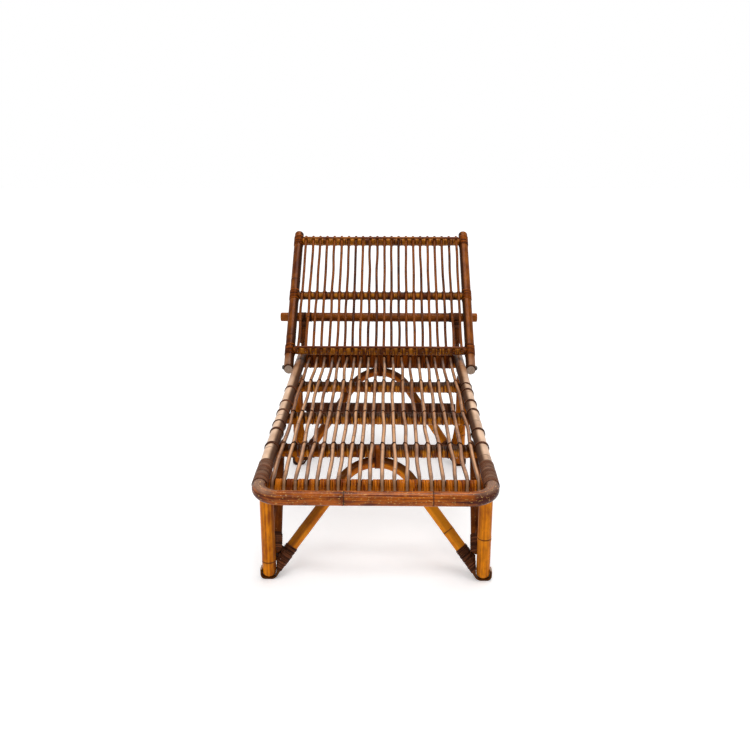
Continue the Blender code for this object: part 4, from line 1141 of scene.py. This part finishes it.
def arc_over(centre, side, up, radius, start, stop, width, slant=(0.0, 0.0, 0.0), thick=0.0016):
    """A strip laid over part of a pole, from one angle to another, its ends tucked in."""
    turn, run = np.linspace(start, stop, ARC_POINTS), np.linspace(-1, 1, ARC_POINTS)
    outward = np.cos(turn)[:, None] * np.array(side) + np.sin(turn)[:, None] * np.array(up)
    tuck = ramp(np.abs(run), 0.88, 0.12) * thick
    path = np.array(centre) + outward * (radius + GAP - tuck)[:, None] + run[:, None] / 2 * np.array(slant)
    return strip_rings(path, outward, width, thick), EDGE_SHADE, rng.uniform(0.1, 0.9)


def tie(centre, axis, side, hubs, sway, width=0.0034, thick=0.0014, rows=18):
    """A closed loop round the hull of the hubs that sways along the axis, so that it crosses slantwise."""
    axis, side = np.array(axis, dtype=float), np.array(side, dtype=float)
    up = np.cross(axis, side)
    turn = np.arange(rows) * 2 * np.pi / rows
    flat, u = hull(turn, hubs, GAP)
    path = np.array(centre) + flat[:, :1] * side + flat[:, 1:] * up + axis * (sway * np.cos(turn))[:, None]
    outward = u[:, :1] * side + u[:, 1:] * up
    return strip_rings(path, outward, width, thick, True), EDGE_SHADE, rng.uniform(0.05, 0.8), True


print("points along an arc", ARC_POINTS)

# %% [markdown]
# ## Windings of the rim
# At each front corner a close winding covers the joint of front and side rail, and more strips go over
# the rail where the leg stands under it. Further back single bands hold the rail to bars and braces.
# Their places differ from left to right, as the maker set them by eye.

# %% Corner windings and rail bands
BANDS = {"left": (0.295, 0.399, 0.457, 0.546, 0.624, 0.754),
         "right": (0.302, 0.403, 0.558, 0.636, 0.740, 0.797)}
CORNER_START, CORNER_STRIP, OVER_LEG, PAST_HALF = 0.0665, 0.0042, np.arange(0.1525, 0.190, 0.0043), 0.55


def worn_and_lit_top(coil, x):
    """Pale top of a winding on a rail, partly wear and partly a painted highlight: none at the side, up to a
    seventh on top, in patches along it.
    """
    high = coil[..., 2] / np.hypot(coil[..., 0] - x, coil[..., 2])
    patchy = 0.5 + 0.5 * np.sin(190.0 * coil[..., 1]) * np.sin(67.0 * coil[..., 1] + 40.0 * coil[..., 0])
    return 0.14 * ramp(high, 0.35, 0.5) * patchy


for side, sign in SIDES:
    x = sign * RAIL_X
    piece, bands = Piece(), Piece()
    coil, edge_shade, tones = wound((x, CORNER_START, 0.0), Y, X, [(0, 0, RIM_R)], 20, CORNER_STRIP,
                               CORNER_STRIP, thick=0.0018, lift=0.0005)
    piece.add(coil, 0.6 * edge_shade, 0.30 + 0.60 * tones, worn=worn_and_lit_top(coil, x))
    for along in OVER_LEG:
        coil, edge_shade, tones = arc_over((x, along, 0.0), X, Z, RIM_R, -PAST_HALF, math.pi + PAST_HALF,
                                      CORNER_STRIP, (0.0, rng.uniform(-0.003, 0.003), 0.0))
        piece.add(coil, 0.6 * edge_shade, 0.30 + 0.60 * tones, worn=worn_and_lit_top(coil, x))
    piece.finish("peel_corner_" + side, SEAT, PEEL_LOOK, "rattan_peel", "corner_winding_" + side)
    for along in BANDS[side]:
        bands.add(*wound((x, along - 0.004, 0.0), Y, X, [(0, 0, RIM_R)], 1.7, 0.0066, 0.0062,
                         rng.uniform(3.5, 5.5), thick=0.0024))
    bands.finish("peel_rail_bands_" + side, SEAT, PEEL_LOOK, "rattan_peel")
print("rail bands", sum(len(b) for b in BANDS.values()))

# %% [markdown]
# ## Windings of the feet
# Above each shaved end the diagonal is bound with a rough close winding, crossed by a few thinner
# strips. Two of the feet have a packing cane under more turns, a wedge cane fills the corner between
# leg and strap, and the brace's toe is wound too. One function makes a foot, with its directions
# along and out of the diagonal.

# %% Foot windings
PACK_R, WEDGE_R, FOOT_STRIP = 0.0050, 0.0056, 0.0048
FOOT_ROWS, FOOT_SPAN = np.arange(12, 60), np.linspace(0.022, 0.092, 20)
PACKED = ("frontleft", "rearright")


def diagonal_frame(sign, leg_y, bar_along):
    """Directions along and out of an arch's diagonal, and the point where its axis leaves the floor."""
    lean, _, angle, floor_x = arch_plane(leg_y, bar_along)
    along, outward, floor = (np.array([sign * across, high * math.sin(lean), high * math.cos(lean)])
                             for across, high in ((-math.cos(angle), math.sin(angle)),
                                                  (math.sin(angle), math.cos(angle)), (floor_x, 0.0)))
    return along, outward, floor + outward * ARCH_R + (0.0, leg_y, 0.0)


def foot_winding(end, side, sign, leg_y, along, outward, base):
    """All the peel of one foot: a winding on the arch's skin, its crossing strips, packing and wedge."""
    skin = ARCHES[end] if sign > 0 else ARCHES[end][::-1, ::-1]
    climb = (skin[FOOT_ROWS].mean(axis=1) - base) @ along
    rows = np.interp(FOOT_SPAN, climb, FOOT_ROWS)
    piece = Piece().add(*wound_on(skin, rows, 13, 0.0050))
    for step in range(4):
        some = rows[3 + 4 * step: 7 + 4 * step]
        piece.add(*wound_on(skin, some, 1.2, 0.0022, 7.0 * step, 0.0014, 0.0018))
    if end + side in PACKED:
        packing = [base + along * q + outward * (ARCH_R + PACK_R) for q in (0.034, 0.078)]
        piece.add(*cane_rings(packing, PACK_R, np.cross(along, outward), THIN_COLUMNS, dome=(0.004, 0.004)),
                  tone=0.3)
        bundle = [(0.0, 0.0, ARCH_R + 0.0012), (ARCH_R + PACK_R, 0.0, PACK_R)]
        piece.add(*wound(base + along * 0.038, along, outward, bundle, 7, 0.0046, FOOT_STRIP))
    wedge = [(sign * 0.2690, leg_y + 0.008, 0.010), (sign * 0.2665, leg_y + 0.020, 0.064)]
    piece.add(*cane_rings(wedge, WEDGE_R, X, THIN_COLUMNS, dome=(0.004, 0.004)), tone=0.3)
    toe, head = BRACES[end + side]
    run = (head - toe) / np.linalg.norm(head - toe)
    piece.add(*wound(toe + run * 0.004, run, X, [(0, 0, BRACE_R)], 10, 0.0050, FOOT_STRIP))
    piece.finish("peel_" + end + "_foot_" + side, FLOOR, PEEL_LOOK, "rattan_peel",
                 end + "_foot_lashing_" + side)


print("foot winding over", round(float(np.ptp(FOOT_SPAN)), 3), "m")

# %% [markdown]
# ## Lashings of the arches and the stretcher
# The top of each arch is tied up to its crossbar between two slats, and the rear stretcher is tied to
# the diagonals it crosses, with turns on both slants. The stretcher itself is wound from end to end.

# %% Arch and stretcher lashings
lash_x = (SLAT_X[9] + SLAT_X[10]) / 2
WRAP_HALF, WRAP_TURNS = 0.270, 104
ties = Piece()


def cross_ties(sign, lean, angle, along, base):
    """Two windings round diagonal and stretcher where they cross, each along a line between the two."""
    up = (STRETCHER_HEIGHT / math.cos(lean) - ARCH_R * math.cos(angle)) / math.sin(angle)
    cross, away = base + along * up, np.array([0.0, -math.cos(lean), math.sin(lean)])
    hubs = [(0, 0, ARCH_R * 1.12), (ARCH_R + STRETCHER_R + GAP, 0, STRETCHER_R * 1.12)]
    for slant in (1.0, -1.0):
        run = along * sign + np.array([-slant, 0.0, 0.0])
        axis = np.cross(away, run / np.linalg.norm(run))
        ties.add(*wound(cross - axis * 0.005, axis, away, hubs, 3, 0.0036, 0.0034))


for end, leg_y, bar_along in FEET:
    lean, _, angle, _ = arch_plane(leg_y, bar_along)
    for side, sign in SIDES:
        along, outward, base = diagonal_frame(sign, leg_y, bar_along)
        foot_winding(end, side, sign, leg_y, along, outward, base)
        if end == "rear":
            cross_ties(sign, lean, angle, along, base)
    hubs = [(0, 0, BAR_R), (0, -(BAR_R + GAP + ARCH_R), ARCH_R)]
    start = (lash_x - 0.0080, *seat_point(bar_along, BAR_LEVEL))
    Piece().add(*wound(start, X, Y, hubs, 4, 0.0038, 0.0036, thick=0.0018, lift=0.0005)).finish(
        "peel_" + end + "_apex", FLOOR, (RED_PEEL,), "rattan_peel", end + "_apex_lashing")
ties.add(*wound((-WRAP_HALF, *STRETCHER), X, Y, [(0, 0, STRETCHER_R), (0, -0.0030, STRETCHER_R)], WRAP_TURNS,
                2 * WRAP_HALF / WRAP_TURNS, 0.0054, thick=0.0030, per_turn=16))
ties.finish("peel_stretcher_ties", FLOOR, PEEL_LOOK, "rattan_peel")
print("lash between slats at x", round(lash_x, 4))

# %% [markdown]
# ## Peel on the crossbars
# All five crossbars are wound with peel in each gap between the slats. On the front and the rear bar a
# plain loop closes the winding on both sides of each slat, and three thin canes hold the rear ends of
# the slats down. Winding gap by gap keeps the strips out of the slats.

# %% Crossbar peel
SLAT_GAPS, BAR_HUB, LOOP_AWAY = list(zip(SLAT_X[:-1], SLAT_X[1:])), (0, 0, BAR_R), SLAT_R + 0.0029
HOLD_R, HOLDERS = 0.0043, ((0.002, 0.0046), (0.011, 0.0046), (0.0065, 0.0118))


def gap_winding(gap, along, hubs, spare, inset, pitch, width, phases, **strip):
    """A strip wound on a bar between two slats, with as many turns as find room there."""
    room = gap[1] - gap[0] - 2 * SLAT_R - spare
    turns = max(2, int(room / pitch))
    start = (gap[0] + SLAT_R + inset, along, BAR_LEVEL)
    return wound(start, X, Y, hubs, turns - 0.1, room / turns, width, rng.uniform(*phases), per_turn=14,
                 **strip)


def bar_loops(piece, along, hubs, places):
    """Plain closed loops round a bar at those places along x."""
    for x in places:
        piece.add(*tie((x, along, BAR_LEVEL), X, Y, hubs, 0.0, 0.0052, 0.0016))


for along, label, look, rise in ((BARS[0], "front", AMBER_PEEL, 0.0), (BARS[4], "rear", RED_PEEL, 0.0330)):
    bar_peel, hubs = Piece(), [BAR_HUB, (0, rise, 0.009)]
    for gap in SLAT_GAPS:
        coil, edge_shade, tones = gap_winding(gap, along, hubs, 0.0016, 0.0026, 0.0048, 0.0056, (2.5, 3.6))
        bar_peel.add(coil, 0.55 * edge_shade, tones)
        bar_loops(bar_peel, along, hubs, (gap[0] + LOOP_AWAY, gap[1] - LOOP_AWAY))
    bar_loops(bar_peel, along, hubs, (SLAT_X[0] - LOOP_AWAY, SLAT_X[-1] + LOOP_AWAY))
    for back, high in HOLDERS if label == "rear" else ():
        y, z = along + back, SLAT_R + high
        path = [(SLAT_X[0] - 0.008, y, z), (SLAT_X[-1] + 0.008, y, z)]
        bar_peel.add(*cane_rings(path, HOLD_R, Z, THIN_COLUMNS, dome=(0.002, 0.002), drift=0.0008), tone=0.5)
    bar_peel.finish("peel_" + label + "_crossbar", SEAT, (look,), "rattan_peel")
bar_winding = Piece()
for along in BARS[1:4]:
    for gap in SLAT_GAPS:
        coil, edge_shade, tones = gap_winding(gap, along, [BAR_HUB], 0.0010, 0.0030, 0.0058, 0.0062, (0.0, 6.0),
                                         thick=0.0022, lift=-0.0006)
        # Painted shade of the slats, with some dirt, darkens the top of the winding.
        shade_and_grime = ramp(side_of(coil, (0.0, along, BAR_LEVEL), (0.25, 1.0)), 0.25, 0.22, 0.97)
        bar_winding.add(coil, np.maximum(0.5 * edge_shade, shade_and_grime), tones)
bar_winding.finish("peel_seat_crossbars", SEAT, (GOLD_PEEL,), "rattan_peel")
print("wound gaps", len(BARS) * len(SLAT_GAPS))

# %% [markdown]
# ## Ties of the seat slats
# On every bar but the first a slanting loop holds each slat down. On the three middle bars the loop
# takes in a thin binder cane behind the bar as well, which widens it to the knuckle that shows on the
# real seat. The cane itself is laid further down.

# %% Seat ties
BINDER_R, BINDER_BACK = 0.0045, 0.0200
BINDER_LEVEL = -SLAT_R - BINDER_R - 0.0025
TIE_SWAY = 0.0068
seat_ties = Piece()
for along in BARS[1:]:
    bound = [BAR_HUB, (0, -BAR_LEVEL, SLAT_R)]
    if along in BARS[1:4]:
        bound.append((BINDER_BACK, BINDER_LEVEL - BAR_LEVEL, BINDER_R))
    for x in SLAT_X:
        sway = TIE_SWAY * rng.choice((-1, 1))
        seat_ties.add(*tie((x, along, BAR_LEVEL), X, Y, bound, sway, 0.0044, 0.0024))
seat_ties.finish("peel_seat_ties", SEAT, PEEL_LOOK, "rattan_peel")
print("seat ties", len(BARS[1:]) * len(SLAT_X))

# %% [markdown]
# ## Peel on the bars of the back
# The three bars of the back are wound all along. Pairs of crossing loops hold every slat, and on the
# lower and top bar a thin cane laid across the slats holds their ends. Near the posts the winding of
# these two is sunk a little, because the lower one passes close to the rails when the back is laid down.

# %% Back bar peel
BOUND, CLEAR, BACK_STRIP = 0.3085, 0.262, 0.0047
FULL, SUNK = (0.0, 0.0, BACK_BAR_R), (0.0, 0.0022, BACK_BAR_R - 0.0012)
END_CANE_R, END_CANE_HALF, MID_TURNS = 0.0040, 0.306, 130
BACK_PEEL_TONE, END_CANE_TONE = {"lower": 0.12, "top": 0.30}, {"lower": 0.05, "top": 0.30}


def by_gap(coil, tones, spread):
    """The tones of a winding, moved by one seeded step for each third of a gap between slats."""
    marks = np.linspace(BACK_SLAT_X[0], BACK_SLAT_X[-1], 3 * len(BACK_SLAT_X) - 2)
    steps = rng.uniform(-spread, spread, len(marks) + 1)
    return tones + steps[np.searchsorted(marks, coil.mean(axis=1)[:, 0])]


def bar_coil(t, left, right, hub, turns):
    """A strip wound on a back bar at height t, from left to right, in that many turns."""
    return wound((left, 0.0, t), X, Z, [hub], turns, (right - left) / turns, BACK_STRIP, per_turn=18,
                 lift=-0.0004)


def crossing_ties(piece, t, x, hub, sway, width):
    """Two loops round a bar and a back slat, one on each slant."""
    for way in (sway, -sway):
        piece.add(*tie((x, 0.0, t), X, Z, [hub, (0, -BACK_SLAT_Y, BACK_SLAT_R)], way, width))


for label, t in (("lower", LOWER_BAR), ("top", TOP_BAR)):
    piece = Piece()
    for left, right, hub in ((-BOUND, -CLEAR, SUNK), (-CLEAR, CLEAR, FULL), (CLEAR, BOUND, SUNK)):
        coil, edge_shade, tones = bar_coil(t, left, right, hub, round((right - left) / 0.00475))
        piece.add(coil, edge_shade, by_gap(coil, BACK_PEEL_TONE[label] + tones, 0.60))
    for x in BACK_SLAT_X:
        hub = (0, 0, BACK_BAR_R + 0.0010) if abs(x) < CLEAR else SUNK
        crossing_ties(piece, t, x, hub, 0.0066, 0.0042)
    y, z = BACK_SLAT_Y - BACK_SLAT_R - 0.0043, t - 0.0035
    path = [(-END_CANE_HALF, y, z), (END_CANE_HALF, y, z)]
    piece.add(*cane_rings(path, END_CANE_R, Z, THIN_COLUMNS, knots_along(0.6, 0.2), dome=(0.002, 0.002),
                          drift=0.0006), tone=END_CANE_TONE[label])
    piece.finish("peel_back_" + label + "_bar", BACK, (GOLD_PEEL,), "rattan_peel")
coil, edge_shade, tones = bar_coil(MID_BAR, -BOUND, BOUND, FULL, MID_TURNS)
# Painted light: a highlight down the middle where the bar faces the camera, and painted shade above and
# below.
shade_and_grime = ramp(0.97 - side_of(coil, (0.0, 0.0, MID_BAR), (-0.85, -0.53)), 0.0, 0.16, 0.80)
Piece().add(coil, np.maximum(0.5 * edge_shade, shade_and_grime), by_gap(coil, tones, 0.55)).finish(
    "peel_back_mid_bar", BACK, (GOLD_PEEL,), "rattan_peel")
print("turns on the middle bar", MID_TURNS)

# %% [markdown]
# ## Ties of the middle bar and the posts
# The middle bar's slats are tied like the others. Each bar is bound to the posts by strips that go
# round the post's outer side, with a full turn above and below them.

# %% Back ties and post windings
POST_STRIP, POST_ARC = 0.0048, 2.3
mid_ties = Piece()
for x in BACK_SLAT_X:
    crossing_ties(mid_ties, MID_BAR, x, (0, 0, BACK_BAR_R + 0.0008), 0.0062, 0.0036)
for side, sign in SIDES:
    x = sign * POST_X
    for t in (LOWER_BAR, MID_BAR, TOP_BAR):
        for low in (t - 0.0220, t + 0.0160):
            mid_ties.add(*wound((x, 0.0, low), Z, X, [(0, 0, POST_R)], 1.3, 0.0050, POST_STRIP))
        for step in np.arange(-0.0125, 0.013, 0.0050):
            mid_ties.add(*arc_over((x, 0.0, t + step), (sign, 0.0, 0.0), Y, POST_R, -POST_ARC, POST_ARC,
                                   POST_STRIP))
mid_ties.finish("peel_back_ties", BACK, (RED_PEEL,), "rattan_peel")
print("tied slats", len(BACK_SLAT_X))

# %% [markdown]
# ## Lashings of the prop
# Each strut is wound below the prop bar, strips go over the bar where the strut stands under it, and a
# few turns on the bar itself hold them in place.

# %% Prop lashings
PROP_ARC = 0.75
prop_ties = Piece()
for side, sign in SIDES:
    x = sign * RAIL_X
    prop_ties.add(*wound((x, 0.0, STRUT_LENGTH - 0.040), Z, X, [(0, 0, STRUT_R)], 5.2, 0.0050, 0.0050))
    prop_ties.add(*wound((x - sign * 0.0170, 0.0, STRUT_LENGTH), (-sign, 0, 0), Y, [(0, 0, PROP_BAR_R)], 3,
                         0.0050, 0.0048))
    for step in np.arange(-0.011, 0.012, 0.0048):
        prop_ties.add(*arc_over((x + step, 0.0, STRUT_LENGTH), (0, -1, 0), Z, PROP_BAR_R, -PROP_ARC,
                                math.pi + PROP_ARC, 0.0046))
prop_ties.finish("peel_prop_ties", PROP, PEEL_LOOK, "rattan_peel")
print("prop strips", len(prop_ties.quads))

# %% [markdown]
# ## A bolt head on the right rail
# One dark bolt shows on the outer side of the right rail. It is a low dome turned about its axis: a
# ring whose radius falls as the root of one minus the height squared.

# %% Rail bolt
BOLT_R, BOLT_HEIGHT, BOLT_SINK, BOLT_ALONG = 0.0060, 0.0038, 0.0012, 0.727
dome = np.linspace(0.0, 1.0, 9)
radius = BOLT_R * np.sqrt(1.0 - 0.97 * dome ** 2)
turn = np.arange(20) * 2 * np.pi / 20
centre = np.stack([RAIL_X + RIM_R - BOLT_SINK + BOLT_HEIGHT * dome, BOLT_ALONG + 0 * dome, 0 * dome], 1)
rings = centre[:, None] + radius[:, None, None] * np.stack([0 * turn, np.cos(turn), np.sin(turn)], 1)[None]
Piece().add(rings).finish("rail_bolt_head", SEAT, (STEEL,), "bolt_steel")
print("bolt head", 2 * BOLT_R, "m across")

# %% [markdown]
# ## Binder canes
# Behind each of the three middle crossbars a thin dark cane lies under the slats, inside the loops that
# tie the slats down. They are the last pieces to draw from the seeded source, so that every other
# piece keeps its own scatter if they are left out.

# %% Binder canes
# Their dark colour fills a band behind each bar that is partly the slats' shade, so it is in part painted
# shade.
binders = Piece()
for along in BARS[1:4]:
    y = along + BINDER_BACK
    path = [(SLAT_X[0] - 0.010, y, BINDER_LEVEL), (SLAT_X[-1] + 0.010, y, BINDER_LEVEL)]
    binders.add(*cane_rings(path, BINDER_R, Z, SLAT_COLUMNS, knots_along(0.55, 0.2), dome=(0.002, 0.002),
                            drift=0.0006), tone=rng.uniform(0.2, 0.6))
binders.finish("cane_seat_binders", SEAT, (DARK, CUT_END), "rattan_slat")
print("binder canes", len(BARS[1:4]))

# %% [markdown]
# ## Floor and world
# The photo was taken in a white studio. A pale floor keeps the soft shadow, and it glows a little for
# the camera alone, more so far from the chair, so that it runs into the white behind it. The world is
# white to the camera and in reflections, but lights the object with half of that, so colours come out
# as they are written.

# %% Floor and world
FLOOR_LIFT, FAR_LIFT, NEAR, FADE = 0.32, 0.29, 0.6, 0.25
WORLD_LIGHT, WORLD_SEEN, WHITE = 0.50, 0.50, (1.0, 1.0, 1.0, 1.0)


def seen(tree):
    """1 for camera, glossy and transmission rays, 0 for the rays that light the object."""
    ray = tree.nodes.new("ShaderNodeLightPath").outputs
    both = math_node(tree, "MAXIMUM", ray["Is Camera Ray"], ray["Is Glossy Ray"])
    return math_node(tree, "MAXIMUM", both, ray["Is Transmission Ray"])


floor_mesh = bpy.data.meshes.new("studio_floor")
floor_mesh.from_pydata([(-9, -6, 0), (9, -6, 0), (9, 14, 0), (-9, 14, 0)], [], [(0, 1, 2, 3)])
floor = bpy.data.objects.new("studio_floor", floor_mesh)
bpy.context.scene.collection.objects.link(floor)
floor_look, tree, shader = principled("studio_white")
for label, value in (("Base Color", (0.93, 0.93, 0.935, 1.0)), ("Roughness", 0.7),
                     ("Specular IOR Level", 0.1), ("Emission Color", WHITE)):
    shader.inputs[label].default_value = value
where = tree.nodes.new("ShaderNodeTexCoord")
far = tree.nodes.new("ShaderNodeVectorMath")
far.operation = "LENGTH"
wire(tree, (where.outputs["Object"], far.inputs[0]))
fade = times(tree, minus(tree, far.outputs["Value"], NEAR), FADE, clamp=True)
lift = plus(tree, times(tree, fade, FAR_LIFT), FLOOR_LIFT)
wire(tree, (times(tree, lift, seen(tree)), shader.inputs["Emission Strength"]))
floor_mesh.materials.append(floor_look)
world = bpy.data.worlds.new("studio")
bpy.context.scene.world = world
world.use_nodes = True
tree = world.node_tree
background = tree.nodes["Background"]
background.inputs["Color"].default_value = WHITE
strength = plus(tree, times(tree, seen(tree), WORLD_SEEN), WORLD_LIGHT)
wire(tree, (strength, background.inputs["Strength"]))
print("floor", tuple(floor.dimensions), "world light", WORLD_LIGHT)

# %% [markdown]
# ## Lamps
# Two large soft lamps, one above and one in front, give the canes their gloss and the floor its soft
# shadow. A lamp looks along its own -z, so it is tipped and turned until that points at the target.

# %% Lamps


def softbox(name, place, target, size, power):
    """A rectangular lamp: tipped by the angle from straight down, then turned towards the target."""
    lamp = bpy.data.lights.new(name, "AREA")
    lamp.shape, lamp.size, lamp.size_y, lamp.energy = "RECTANGLE", size[0], size[1], power
    obj = bpy.data.objects.new(name, lamp)
    obj.location = place
    toward = np.array(target) - np.array(place)
    toward = toward / np.linalg.norm(toward)
    obj.rotation_euler = (math.acos(-toward[2]), 0.0, math.atan2(toward[0], -toward[1]))
    bpy.context.scene.collection.objects.link(obj)
    return obj


lamps = [softbox("soft_top", (0.4, 0.2, 3.4), (0.0, 0.0, 0.3), (2.4, 2.0), 75.0),
         softbox("soft_front", (-0.7, -2.5, 2.9), (0.0, -0.4, 0.3), (1.8, 0.7), 80.0)]
print("lamps", [lamp.name for lamp in lamps])

# %% [markdown]
# ## Camera
# The camera looks from where the photo was taken. Its place, tilt and lens were fitted to the straight
# poles in the photo.

# %% Camera
camera = bpy.data.objects.new("photo_camera", bpy.data.cameras.new("photo_camera"))
camera.data.lens, camera.data.sensor_width = 39.235, 36.0
camera.location = (0.0351, -2.55671, 1.18347)
camera.rotation_euler = (math.radians(73.1156), 0.0, math.radians(0.9327))
bpy.context.scene.collection.objects.link(camera)
bpy.context.scene.camera = camera
bpy.context.scene.view_settings.view_transform = "Standard"
print("lens", round(camera.data.lens, 2), "mm")
